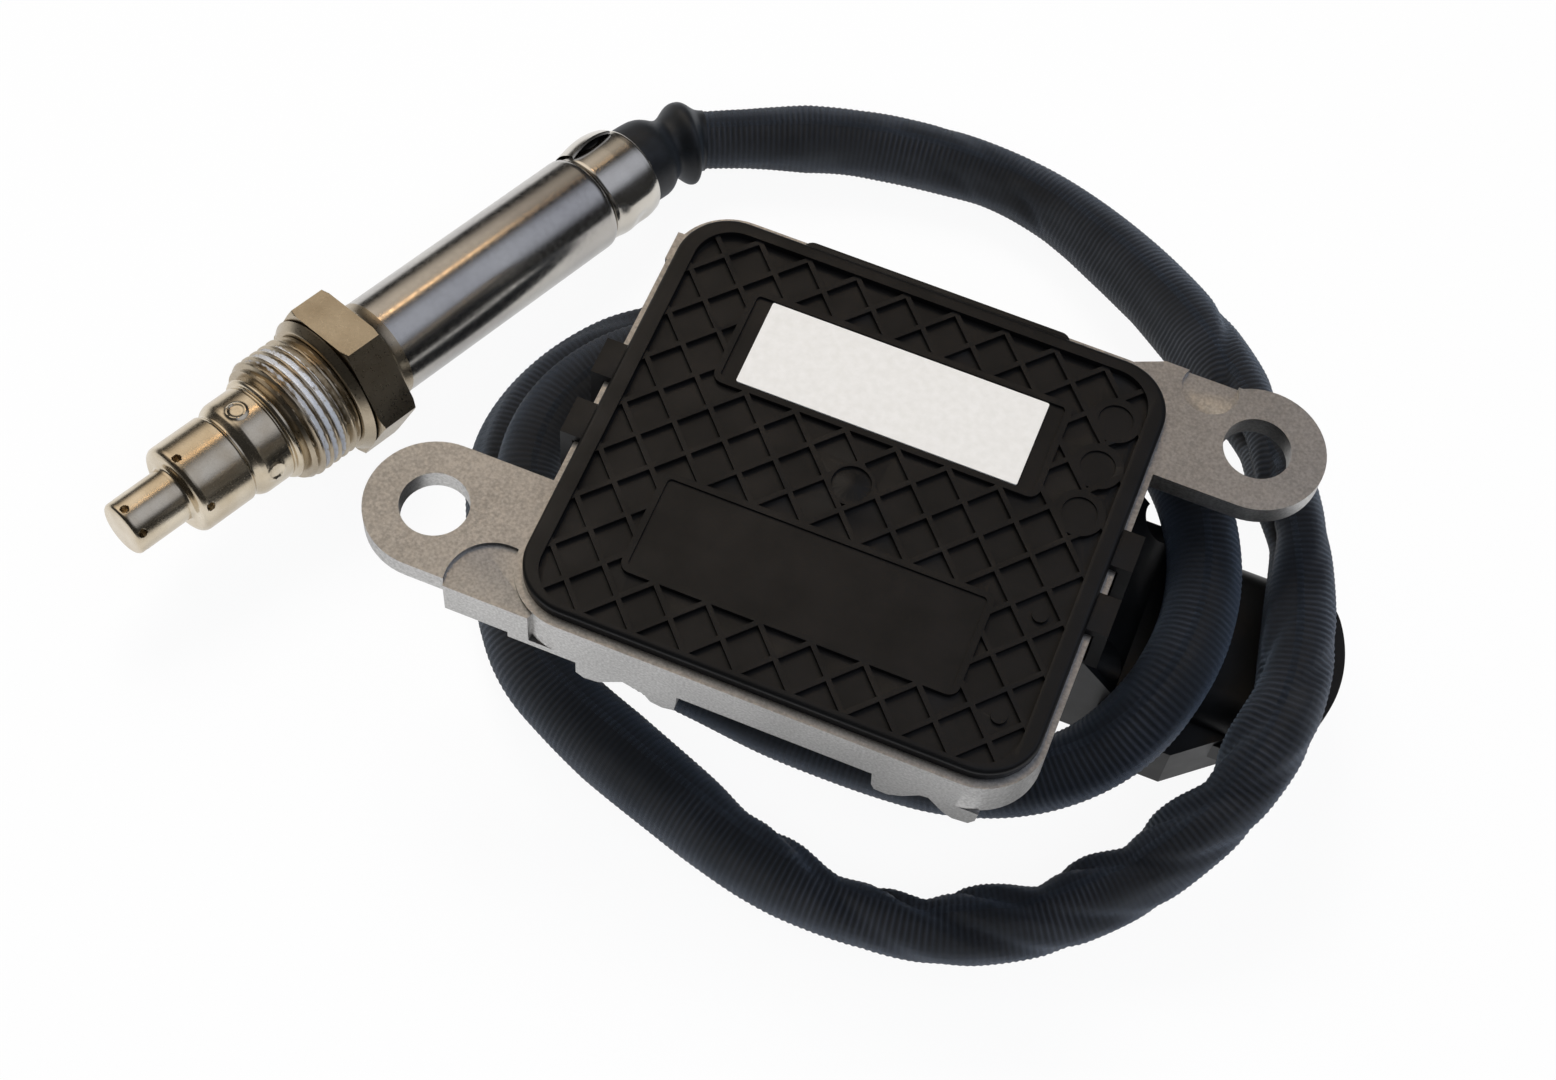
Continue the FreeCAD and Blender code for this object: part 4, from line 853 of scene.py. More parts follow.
@dataclass
class ThreadedBody:
    """Sensor body: thread, washer neck, hexagon and rear collar as one turned and milled piece.

    The radius is worked out over station and angle: a triangle wave along a helix on the thread,
    and on the hexagon the smaller of the flat's distance and the chamfer's cone.

    Attributes:
        axis: The probe's axis.
        role: What the piece stands for.
        start: Station of the front face.
        thread_end: Station where the thread ends.
        hex_start: Station of the hexagon's front face.
        hex_end: Station of its rear face.
        end: Station of the rear face.
        thread_r: Radius over the thread's crests.
        thread_depth: Depth of the thread.
        pitch: Distance between two crests.
        crest: Factor on the triangle wave, which cuts its crests flat.
        lead_in: Length over which the thread rises at its front and runs out at its rear.
        lead_low: Share of the thread's depth that stands at its front face.
        out_low: Share of the depth that is left where the thread ends.
        neck_r: Radius of the neck under the sealing ring.
        flats: Width across the hexagon's flats.
        turn: Angle of one corner of the hexagon, in degrees.
        chamfer: Length of the hexagon's chamfer, which takes twice as much off the corners.
        collar: Rear collar, as distance behind the hexagon and radius in millimetres.
        core_r: Radius of the rear bore.
        mouth_r: Radius of the front bore.
        mouth: Depth of the front bore.
        step: Room between two rings at a sharp shoulder.
        paste_level: Share of the thread's depth below which the paste lies.
        paste_margin: Bare length at both ends of the thread, faded over paste_fade.
        paste_edge: Depth over which the paste thins out.
        paste_bias: Amount of paste at the level itself.
        thread_rings: Rings of corners along the thread.
        chamfer_rings: Rings along each chamfer.
        flat_rings: Rings along the flats.
        segments: Steps round the axis.
    """

    axis: ProbeAxis
    role: Role = Role("threaded_body", "sensor_body", "turned_steel", TURNED, 25.0)
    start: float = 27.2 * MM
    thread_end: float = 36.3 * MM
    hex_start: float = 38.1 * MM
    hex_end: float = 44.5 * MM
    end: float = 47.9 * MM
    thread_r: float = 10.0 * MM
    thread_depth: float = 0.95 * MM
    pitch: float = 1.5 * MM
    crest: float = 1.25
    lead_in: float = 1.3 * MM
    lead_low: float = 0.25
    out_low: float = 0.45
    neck_r: float = 8.8 * MM
    flats: float = 22.0 * MM
    turn: float = 21.5
    chamfer: float = 0.3 * MM
    collar: Rows = (
        (0.02, 9.0), (0.7, 9.0), (1.1, 8.85), (1.4, 8.5), (1.6, 8.15), (2.0, 7.98), (3.4, 7.93),
    )
    core_r: float = 6.9 * MM
    mouth_r: float = 4.6 * MM
    mouth: float = 2.8 * MM
    step: float = 0.02 * MM
    paste_level: float = 0.4
    paste_margin: float = 2.6 * MM
    paste_fade: float = 0.6 * MM
    paste_edge: float = 0.25 * MM
    paste_bias: float = 0.9
    thread_rings: int = 110
    chamfer_rings: int = 7
    flat_rings: int = 12
    segments: int = 192

    def thread_radius(self, s: Grid, angle: Grid) -> Grid:
        """Triangle wave with a flattened crest along the helix, faded in at the lead and run out.

        Args:
            s: Station of each point.
            angle: Angle of each point.

        Returns:
            Radius of each point.
        """
        phase = (s - self.start) / self.pitch - angle / (2 * math.pi)
        wave = np.abs((phase % 1.0) * 2 - 1)
        crest = np.clip(wave * self.crest, 0, 1)
        root = self.thread_r - self.thread_depth
        lead = np.clip((s - self.start) / self.lead_in, 0, 1)
        out = np.clip((self.thread_end - s) / self.lead_in, 0, 1)
        limit = np.minimum(self.lead_low + (1 - self.lead_low) * lead,
                           self.out_low + (1 - self.out_low) * out)
        return root + self.thread_depth * np.minimum(crest, limit)

    def hex_radius(self, s: Grid, angle: Grid) -> Grid:
        """Distance to the nearest flat, cut by a cone at both faces.

        Args:
            s: Station of each point.
            angle: Angle of each point.

        Returns:
            Radius of each point.
        """
        sector = math.pi / 3
        local = (angle - math.radians(self.turn)) % sector - sector / 2
        flat = self.flats / 2 / np.cos(local)
        corner = self.flats / 2 / math.cos(sector / 2)
        inner = corner - 2 * self.chamfer
        edge = np.minimum(s - self.hex_start, self.hex_end - s) / self.chamfer
        cone = inner + (corner - inner) * np.clip(edge, 0, 1)
        return np.minimum(flat, cone)

    def rows(self) -> List[Tuple[Grid, Callable[[Grid, Grid], Grid]]]:
        """List the stretches of the outline, from the front bore round to it again.

        Returns:
            Stations and radius function of each stretch, in order.
        """
        def plain(station: float, radius: float) -> Tuple[Grid, Callable[[Grid, Grid], Grid]]:
            """One ring of one radius."""
            return np.array([station]), lambda s, angle: np.full_like(s, radius)

        front, rear = self.hex_start + self.chamfer, self.hex_end - self.chamfer
        hexagon = np.concatenate([
            np.linspace(self.hex_start, front, self.chamfer_rings),
            np.linspace(front, rear, self.flat_rings)[1:],
            np.linspace(rear, self.hex_end, self.chamfer_rings)[1:],
        ])
        return [
            plain(self.start, self.mouth_r),
            (np.linspace(self.start, self.thread_end, self.thread_rings), self.thread_radius),
            plain(self.thread_end + self.step, self.neck_r),
            plain(self.hex_start - self.step, self.neck_r),
            (hexagon, self.hex_radius),
            *[plain(self.hex_end + past * MM, radius * MM) for past, radius in self.collar],
            plain(self.end, self.core_r),
            plain(self.start + self.mouth, self.core_r),
            plain(self.start + self.mouth, self.mouth_r),
        ]

    def build(self) -> bpy.types.Object:
        """Make the body and lay paste in its thread: 1 below a level, thinning out above it.

        Returns:
            The new object.
        """
        angles = math.radians(self.turn) + around(self.segments)
        grids = [np.meshgrid(row, angles, indexing="ij") for row, _ in self.rows()]
        s, a = (np.vstack(part) for part in zip(*grids))
        r = np.vstack([radius(*grid) for grid, (_, radius) in zip(grids, self.rows())])
        body = self.role.mesh(self.axis.wrap(s, a, r), True, True)
        level = self.thread_r - self.paste_level * self.thread_depth
        amount = np.clip((level - r) / self.paste_edge + self.paste_bias, 0, 1)
        amount *= window(s, self.start + self.paste_margin, self.thread_end - self.paste_margin,
                         self.paste_fade)
        store(body, "paste", amount * (s > self.start) * (s < self.thread_end))
        return body


@dataclass
class TurnedPiece:
    """Ring or tube with a closed section, the same at every angle round the probe's axis.

    Attributes:
        axis: The probe's axis.
        role: What the piece stands for.
        section: Outline of its section, as station and radius in millimetres.
        segments: Number of steps round the axis.
    """

    axis: ProbeAxis
    role: Role
    section: Rows
    segments: int = 128

    def build(self) -> bpy.types.Object:
        """Turn the section round the probe's axis.

        Returns:
            The new object.
        """
        rows = np.array(self.section) * MM
        s, a = np.meshgrid(rows[:, 0], around(self.segments), indexing="ij")
        r = np.broadcast_to(rows[:, 1:2], s.shape)
        return self.role.mesh(self.axis.wrap(s, a, r), True, True)


@dataclass
class SealRing(TurnedPiece):
    """Captive sealing ring in front of the hexagon, which flares towards it.

    Attributes:
        role: What the ring stands for.
        section: Outline of its section, as station and radius in millimetres.
    """

    role: Role = Role("seal_ring", "sealing_washer", "turned_steel", TURNED, 35.0)
    section: Rows = (
        (36.5, 8.85), (36.5, 10.0), (36.62, 10.2), (36.85, 10.35), (37.6, 11.1), (37.75, 11.2),
        (37.85, 11.1), (37.85, 8.85),
    )


@dataclass
class LongTube(TurnedPiece):
    """Drawn sleeve tube: a straight wall with a rolled shoulder at its rear end.

    Attributes:
        role: What the tube stands for.
        section: Outline of its section, as station and radius in millimetres.
    """

    role: Role = Role("long_tube", "sleeve_tube", "polished_steel", DRAWN)
    section: Rows = (
        (47.9, 7.3), (47.9, 7.9), (68.0, 7.9), (89.4, 7.9), (89.9, 7.86), (90.3, 7.72),
        (90.6, 7.48), (90.75, 7.15), (90.75, 6.7), (89.6, 6.7), (88.8, 7.3),
    )


@dataclass
class ProtectionTube:
    """Stepped tube over the probe's tip, with drawn corners, gas holes and two spot welds.

    The radius is worked out over station and angle: the outline's radius, less a pit at each gas
    hole, plus a bell-shaped rim round a dished middle at each spot weld.

    Attributes:
        axis: The probe's axis.
        role: What the piece stands for.
        outline: Outer outline from the tip's face to the threaded body, as station and radius in
            millimetres.
        holes: Station in millimetres, angle of the first hole in degrees and number of holes of
            each row.
        welds: Station in millimetres and angle in degrees of each spot weld.
        hole_r: Radius of a gas hole, hole_depth deep, with a slope of hole_edge at its rim.
        weld_r: Radius of a weld's rim, which is rim_height high and rim_width wide.
        dish_depth: Depth of the cone inside the rim, which turns flat at dish_flat of it.
        heat_reach: Distance to which the oxide spreads from a weld's middle.
        weld_heat: Heat in the weld's middle.
        rings: Rings of corners along the outline.
        segments: Steps round the axis.
    """

    axis: ProbeAxis
    role: Role = Role("protection_tube", "outer_protection_tube", "tinted_steel", WELDED)
    outline: Rows = (
        (0.0, 3.3), (0.05, 3.65), (0.2, 3.97), (0.45, 4.18), (0.8, 4.25), (9.1, 4.25), (9.4, 4.35),
        (9.55, 4.6), (9.6, 4.9), (9.6, 5.9), (9.7, 6.4), (9.95, 6.8), (10.3, 7.03), (10.7, 7.1),
        (18.3, 7.1), (18.6, 6.98), (18.85, 6.78), (19.15, 6.78), (19.5, 7.0), (20.1, 7.42),
        (20.7, 7.65), (21.2, 7.7), (25.1, 7.7), (25.35, 7.55), (25.6, 7.6), (25.75, 8.2),
        (26.1, 8.45), (26.45, 8.4), (26.65, 7.95), (26.9, 7.85), (27.2, 7.85),
    )
    holes: Tuple[Tuple[float, float, int], ...] = ((1.25, -3.0, 6), (10.95, -4.0, 5))
    welds: Rows = ((22.1, -7.0), (22.1, 79.0))
    hole_r: float = 0.62 * MM
    hole_depth: float = 1.4 * MM
    hole_edge: float = 0.1 * MM
    weld_r: float = 1.35 * MM
    rim_height: float = 0.18 * MM
    rim_width: float = 0.24 * MM
    dish_depth: float = 0.22 * MM
    dish_flat: float = 0.35
    heat_reach: float = 2.3 * MM
    weld_heat: float = 0.85
    rings: int = 259
    segments: int = 240

    def build(self) -> bpy.types.Object:
        """Resample the outline evenly, work out the radius and store the attribute for the welds'
        oxide rings and the gas holes' painted shade.

        Returns:
            The new object.
        """
        outline = resample(np.array(self.outline) * MM, self.rings)
        s, a = np.meshgrid(outline[:, 0], around(self.segments), indexing="ij")
        base = np.broadcast_to(outline[:, 1:2], s.shape)
        r = base.copy()
        heat = np.zeros_like(r)

        def away(station: float, turn: float) -> Grid:
            """Distance over the surface from a place given in millimetres and degrees."""
            return np.hypot(s - station * MM, wrapped(a - math.radians(turn)) * base)

        for station, first, count in self.holes:
            for turn in first + 360 * np.arange(count) / count:
                inside = np.clip((self.hole_r - away(station, turn)) / self.hole_edge, 0, 1)
                r -= self.hole_depth * inside
                # A gas hole gets 1, which the finish paints near black as the shade inside it.
                heat = np.maximum(heat, inside)
        for station, turn in self.welds:
            gone = away(station, turn)
            rim = np.exp(-((gone - self.weld_r) / self.rim_width) ** 2)
            dish = np.clip(1 - gone / self.weld_r, 0, self.dish_flat)
            r += self.rim_height * rim - self.dish_depth * dish
            heat = np.maximum(heat, self.weld_heat * np.clip(1 - gone / self.heat_reach, 0, 1))
        tube = self.role.mesh(self.axis.wrap(s, a, r), False, True, True)
        store(tube, "heat", heat)
        return tube


@dataclass
class CrimpCollar:
    """Crimp collar behind the sleeve tube, with a pressed lug and a tab bent out of its wall.

    The lug is a rounded field on the lower side, raised at its front and dished behind. The tab is
    an arched strip whose near edge stands off the collar over the slot, a dark sheet of painted
    shade on the collar's wall.

    Attributes:
        axis: The probe's axis.
        collar_role: What the collar stands for.
        tab_role: What the tab stands for.
        slot_shade_role: What the slot's dark sheet of painted shade stands for.
        outline: Outer outline, as station and radius in millimetres.
        lug: Station, angle in degrees, half length and half width of the lug in millimetres.
        dish: Middle of the lug's dish along and across, in half lengths and half widths, and the
            square of its spread.
        tab: First and last station in millimetres, and near and far angle in degrees of the tab.
        slot_margin: What the slot leaves off the tab's length in millimetres at each end, and off
            its near and far angle in degrees.
        wall_r: Radius of the collar under the tab.
        slot_lift: Height of the dark sheet of painted shade over the wall, so that it shows.
        lug_rise: Height of the lug.
        tab_rise: Height of the tab's arch over the collar's wall.
        tab_wall: Thickness of the tab.
        arch_power: Power of the half wave; below 1 it makes the arch fuller.
        tab_grid: Points of the tab along and across.
        slot_grid: Points of the slot along and across.
        rings: Rings of corners along the collar.
        segments: Steps round the axis.
    """

    axis: ProbeAxis
    collar_role: Role = Role("crimp_ring", "crimp_collar", "polished_steel", PRESSED)
    tab_role: Role = Role("clip_tab", "crimp_clip", "polished_steel", PRESSED)
    # The slot is a dark sheet of painted shade for the opening under the tab; it borrows the dark
    # chip epoxy finish for its colour.
    slot_shade_role: Role = Role("clip_slot_shade", "crimp_clip", "polished_steel", PACKAGE, 0.0)
    outline: Rows = (
        (88.0, 6.6), (90.6, 6.6), (90.95, 6.65), (91.0, 7.05), (91.15, 7.25), (91.5, 7.36),
        (96.0, 7.36), (99.4, 7.3), (100.2, 7.25), (100.45, 7.1), (100.55, 6.9),
    )
    lug: Tuple[float, float, float, float] = (96.0, 96.0, 3.6, 4.6)
    dish: Tuple[float, float, float] = (0.1, 0.15, 0.2)
    tab: Tuple[float, float, float, float] = (91.4, 99.4, -30.0, -78.0)
    slot_margin: Tuple[float, float, float] = (0.5, 3.0, 12.0)
    wall_r: float = 7.36 * MM
    slot_lift: float = 0.04 * MM
    lug_rise: float = 0.55 * MM
    tab_rise: float = 0.95 * MM
    tab_wall: float = 0.5 * MM
    arch_power: float = 0.8
    tab_grid: Tuple[int, int] = (40, 16)
    slot_grid: Tuple[int, int] = (24, 12)
    rings: int = 90
    segments: int = 216

    def collar(self) -> bpy.types.Object:
        """Collar with the lug worked into its radius: a square-shouldered bell less a round one.

        Returns:
            The new object.
        """
        outline = resample(np.array(self.outline) * MM, self.rings)
        s, a = np.meshgrid(outline[:, 0], around(self.segments), indexing="ij")
        r = np.broadcast_to(outline[:, 1:2], s.shape).copy()
        station, turn, half_length, half_width = self.lug
        along = (s / MM - station) / half_length
        beside = wrapped(a - math.radians(turn)) * r / MM / half_width
        raised = np.exp(-(along ** 4 + beside ** 4))
        dish_along, dish_beside, spread = self.dish
        dished = np.exp(-((along - dish_along) ** 2 + (beside - dish_beside) ** 2) / spread)
        r += self.lug_rise * (raised - dished)
        return self.collar_role.mesh(self.axis.wrap(s, a, r), False, True, True)

    def strip(self) -> bpy.types.Object:
        """Arched tab: a half wave along it, which falls off from its near edge to its far one.

        Returns:
            The new object.
        """
        first, last, near, far = self.tab
        rows, columns = self.tab_grid
        s, a = np.meshgrid(np.linspace(first, last, rows) * MM,
                           np.radians(np.linspace(near, far, columns)), indexing="ij")
        along = np.clip((s / MM - first) / (last - first), 0, 1)
        beside = np.clip((a - math.radians(near)) / math.radians(far - near), 0, 1)
        arch = np.sin(math.pi * along) ** self.arch_power * (1 - beside ** 2)
        under = self.wall_r + self.tab_rise * arch
        outside = self.axis.wrap(s, a, under + self.tab_wall)
        inside = self.axis.wrap(s, a, under)[:, ::-1]
        return self.tab_role.mesh(np.concatenate([outside, inside], axis=1), False, True)

    def slot(self) -> bpy.types.Object:
        """Dark sheet on the collar's wall under the tab, painted shade for the opening there, as
        wide as a half wave along it.

        Returns:
            The new object.
        """
        first, last, near, far = self.tab
        inset, near_off, far_off = self.slot_margin
        rows, columns = self.slot_grid
        s, a = np.meshgrid(np.linspace(first + inset, last - inset, rows) * MM,
                           np.radians(np.linspace(near + near_off, far + far_off, columns)),
                           indexing="ij")
        inward = np.clip(np.sin(math.pi * (s / MM - first) / (last - first)), 0, 1)
        centre = math.radians((near + far) / 2)
        a = centre + (a - centre) * inward
        r = np.full_like(s, self.wall_r + self.slot_lift)
        return self.slot_shade_role.mesh(self.axis.wrap(s, a, r), False, False)

    def build(self) -> List[bpy.types.Object]:
        """Make the collar, its tab and the slot's dark sheet of painted shade."""
        return [self.collar(), self.strip(), self.slot()]


@dataclass
class Cable:
    """Sleeved cable: a woven tube with weft ribs, wandering folds and puckers inside its bends.

    Attributes:
        role: What the sleeve stands for.
        route: Control points of the route, as x, y and height above the floor in millimetres.
        fullness: Radius of the filled sleeve at some distances along it, in millimetres.
        folds: Middle and strength, width in radians and depth in millimetres of each long fold.
        tucks: Distance, depth and reach of the tucks inside the bends, in millimetres.
        radius: Mean radius of the sleeve.
        pitch: Distance between two weft ribs.
        rib_depth: Height of a rib.
        oval: Share by which the sleeve is flattened.
        lean: Angle of the flattening.
        waves: Height of the soft waves between folds.
        skew: Share of a pitch by which the weft strays, besides its slant of skew_slant.
        skew_turn: Angle by which the slant is turned.
        fade: Share of a rib's height that stands out.
        fade_lead: How far the fade runs ahead along the sleeve, a radian of the angle.
        notch_width: Width of a tuck round the sleeve, in radians.
        crease_slope: How fast a tuck's crease climbs from the inner side, in radians a millimetre.
        crease_share: Depth of the crease behind a tuck, as a share of the tuck's.
        crease_width: Width of the crease, in radians.
        crease_reach: Distance over which the crease fades, in millimetres.
        bend_window: Number of rings over which the bend is averaged.
        rings_per_rib: Rings of corners to each weft rib.
        curve_steps: Points that the spline gives between two control points.
        segments: Steps round the cable.
    """

    role: Role = Role("sleeve", "cable_sleeve", "woven_sleeve", SLEEVE, 80.0)
    route: Tuple[Point, ...] = (
        (31.0, 47.2, 20.1), (19.7, 47.2, 20.1), (9.8, 41.4, 19.0), (4.0, 31.5, 17.8),
        (4.0, 20.0, 17.1), (9.8, 10.2, 16.5), (19.6, 4.6, 13.4), (31.0, 3.5, 9.0),
        (42.5, 3.1, 6.4), (54.0, 2.5, 5.7), (65.5, 2.6, 5.8), (76.5, 3.4, 6.6),
        (87.0, 6.2, 10.4), (95.4, 11.8, 16.2), (100.0, 20.8, 21.0), (101.3, 32.4, 21.9),
        (98.9, 44.2, 21.9), (92.6, 55.2, 21.0), (83.6, 62.8, 18.6), (70.5, 64.4, 15.0),
        (51.0, 63.4, 9.6), (31.0, 62.0, 6.2), (14.3, 58.0, 5.7), (3.0, 49.6, 5.6),
        (-3.1, 37.5, 5.6), (-3.0, 24.6, 5.6), (3.6, 12.0, 5.6), (12.6, -2.6, 5.6),
        (27.0, -9.2, 5.6), (44.0, -14.8, 5.6), (59.9, -18.9, 5.6), (78.2, -19.1, 5.8),
        (93.2, -12.2, 6.2), (104.4, -2.0, 9.0), (112.2, 8.8, 16.2), (115.7, 20.6, 21.3),
        (115.3, 33.0, 22.0), (111.8, 45.2, 22.0), (106.1, 58.4, 20.4), (97.3, 72.2, 16.8),
        (85.0, 86.0, 12.4), (69.3, 97.7, 8.0), (51.8, 105.1, 5.9), (34.7, 104.7, 5.6),
        (17.6, 101.0, 5.7), (1.8, 92.4, 6.2),
    )
    fullness: Rows = (
        (0, 5.5), (300, 5.5), (345, 5.5), (368, 6.35), (386, 6.1), (400, 5.8), (412, 5.1),
        (426, 5.6), (440, 5.8), (462, 5.85), (490, 5.6), (508, 5.3), (530, 5.5), (552, 5.75),
        (572, 5.6), (590, 5.3), (612, 5.4), (626, 5.5), (636, 4.7), (642, 4.5),
    )
    folds: Tuple[Tuple[Wander, Wander, float, float], ...] = (
        (Wander(21, 38 * MM, 0.75, 0.35), Wander(22, 45 * MM, 0.9, 0.35), 0.40, 0.9),
        (Wander(31, 38 * MM, 0.75, 2.3), Wander(32, 45 * MM, 0.9, 0.35), 0.34, 0.7),
        (Wander(41, 38 * MM, 0.75, -1.6), Wander(42, 45 * MM, 0.9, 0.35), 0.36, 0.7),
    )
    tucks: Rows = (
        (390, 2.0, 6.5), (406, 4.0, 5.5), (419, 3.0, 4.0), (436, 2.8, 4.0), (450.5, 2.5, 4.0),
        (466, 2.1, 4.5), (483, 1.2, 5.0), (508, 3.0, 8.0), (526, 2.8, 9.0), (582, 0.6, 10.0),
        (596, 0.4, 8.0),
    )
    radius: float = 5.5 * MM
    pitch: float = 0.88 * MM
    rib_depth: float = 0.18 * MM
    oval: float = 0.03
    lean: Wander = Wander(13, 60 * MM, 0.8)
    waves: Wander = Wander(12, 9 * MM, 0.12 * MM)
    skew: Wander = Wander(61, 9 * MM, 0.1)
    skew_slant: float = 0.22
    skew_turn: float = 1.2
    fade: Wander = Wander(71, 11 * MM, 0.35, 0.65)
    fade_lead: float = 3 * MM
    notch_width: float = 1.15
    crease_slope: float = 0.11
    crease_share: float = 0.95
    crease_width: float = 0.25
    crease_reach: float = 14.0
    bend_window: int = 61
    rings_per_rib: int = 4
    curve_steps: int = 48
    segments: int = 32

    def points(self) -> Grid:
        """Control points of the route in the part's frame."""
        return np.array(self.route) * MM + np.array([0.0, 0.0, FLOOR_Z])

    def spline(self) -> Grid:
        """Read the route's NURBS spline.

        Returns:
            Points evenly spaced along it, a few to each weft rib.
        """
        curve = bpy.data.curves.new("cable_route", "CURVE")
        curve.dimensions = "3D"
        curve.resolution_u = self.curve_steps
        spline = curve.splines.new("NURBS")
        control = self.points()
        spline.points.add(len(control) - 1)
        spline.points.foreach_set("co", np.column_stack([control, np.ones(len(control))]).ravel())
        spline.order_u = 3
        spline.use_endpoint_u = True
        holder = bpy.data.objects.new("cable_route", curve)
        bpy.context.scene.collection.objects.link(holder)
        mesh = bpy.data.meshes.new_from_object(holder)
        line = np.empty(len(mesh.vertices) * 3)
        mesh.vertices.foreach_get("co", line)
        line = line.reshape(-1, 3)
        bpy.data.objects.remove(holder)
        bpy.data.meshes.remove(mesh)
        ribs = int(round(run_length(line)[-1] / self.pitch))
        return resample(line, ribs * self.rings_per_rib + 1)

    def long_folds(self, u: Grid, angle: Grid) -> Grid:
        """Depth of the folds that run along the sleeve: bells whose middle and strength wander.

        Args:
            u: Distance along the cable.
            angle: Angle round it.

        Returns:
            Depth, in the shape of u.
        """
        depths = np.zeros_like(u)
        for middle, strength, width, depth in self.folds:
            bell = np.exp(-(wrapped(angle - middle.at(u)) / width) ** 2)
            depths += depth * MM * np.clip(strength.at(u), 0, 1) * bell
        return depths

    def bend_tucks(self, along: Grid, angle: Grid, side: Grid) -> Grid:
        """Depth of the tucks: a notch on the bend's inner side, and a crease that climbs from it.

        Args:
            along: Distance along the cable in millimetres.
            angle: Angle round it.
            side: 1 where the bend's inner side is at a quarter turn, and -1 where it is opposite.

        Returns:
            Depth, in the shape of along.
        """
        depths = np.zeros_like(along)
        beside = angle - side * math.pi / 2
        for place, depth, reach in self.tucks:
            past = along - place
            run = np.clip(past, 0, None)
            notch = (np.exp(-(np.abs(past) / reach) ** 1.4)
                     * np.exp(-(wrapped(beside) / self.notch_width) ** 2))
            crease = wrapped(beside + side * self.crease_slope * run) / self.crease_width
            line = (np.clip(past / 2, 0, 1) * np.exp(-run / self.crease_reach)
                    * np.exp(-crease ** 2))
            depths += depth * MM * (notch + self.crease_share * line)
        return depths

    def profile(self, u: Grid, angle: Grid, bend: Grid) -> Tuple[Grid, Grid]:
        """Radius of the sleeve: its fullness, less folds and tucks, plus a cosine for each rib.

        Args:
            u: Distance along the cable.
            angle: Angle round it, 0 at the top.
            bend: Signed curvature in the floor plane, positive where side points inwards.

        Returns:
            Radius and rib height from 0 to 1, both in the shape of u.
        """
        along = u / MM
        full = np.array(self.fullness)
        filled = np.interp(along, full[:, 0], full[:, 1]) * MM
        flattened = self.oval * np.cos(2 * (angle - self.lean.at(u)))
        filled = filled * (1 + flattened) + self.waves.at(u)
        sunk = (self.long_folds(u, angle)
                + self.bend_tucks(along, angle, np.where(bend > 0, 1.0, -1.0)))
        skew = self.skew_slant * np.sin(angle + self.skew_turn) + self.skew.at(u)
        rib = 0.5 + 0.5 * np.cos(2 * math.pi * (u / self.pitch + skew))
        fade = self.fade.at(u + self.fade_lead * angle)
        return filled - sunk + self.rib_depth * (rib - 0.5) * fade, rib * fade

    def bend(self, line: Grid) -> Grid:
        """Signed curvature of the line: the turn of its direction towards its side, averaged.

        Args:
            line: Points of the line, one a row.

        Returns:
            Curvature at each point.
        """
        along, side, _ = across(line)
        step = np.linalg.norm(np.gradient(line, axis=0), axis=1)
        turn = np.sum(np.gradient(along, axis=0) / step[:, None] * side, axis=1)
        kernel = np.hanning(self.bend_window)
        padded = np.pad(turn, self.bend_window // 2, mode="edge")
        return np.convolve(padded, kernel / kernel.sum(), mode="valid")

    def build(self) -> bpy.types.Object:
        """Make the sleeve and give it its weave.

        Returns:
            The new object.
        """
        line = self.spline()
        angles = around(self.segments)
        uu, aa = np.meshgrid(run_length(line), angles, indexing="ij")
        radii, rib = self.profile(uu, aa, np.broadcast_to(self.bend(line)[:, None], uu.shape))
        sleeve = sweep(self.role, line, angles, radii)
        # The rib height also sets the painted shade and highlight of the sleeve's finish.
        store(sleeve, "rib", rib)
        self.map_weave(sleeve, uu, aa)
        tuple(float(c) for c in self.points()[0])
        return sleeve

    def map_weave(self, sleeve: bpy.types.Object, u: Grid, angle: Grid) -> None:
        """Store the weave's UV on the corners: distance along and round the sleeve, in metres.

        Args:
            sleeve: The sleeve.
            u: Distance along the cable of each grid point.
            angle: Angle round it of each grid point.
        """
        flat = np.zeros((len(sleeve.data.vertices), 2), dtype=np.float32)
        flat[:u.size] = np.column_stack([u.ravel(), (angle * self.radius).ravel()])
        corners = np.empty(len(sleeve.data.loops), dtype=np.int64)
        sleeve.data.loops.foreach_get("vertex_index", corners)
        layer = sleeve.data.uv_layers.new(name="weave")
        layer.data.foreach_set("uv", flat[corners].ravel())


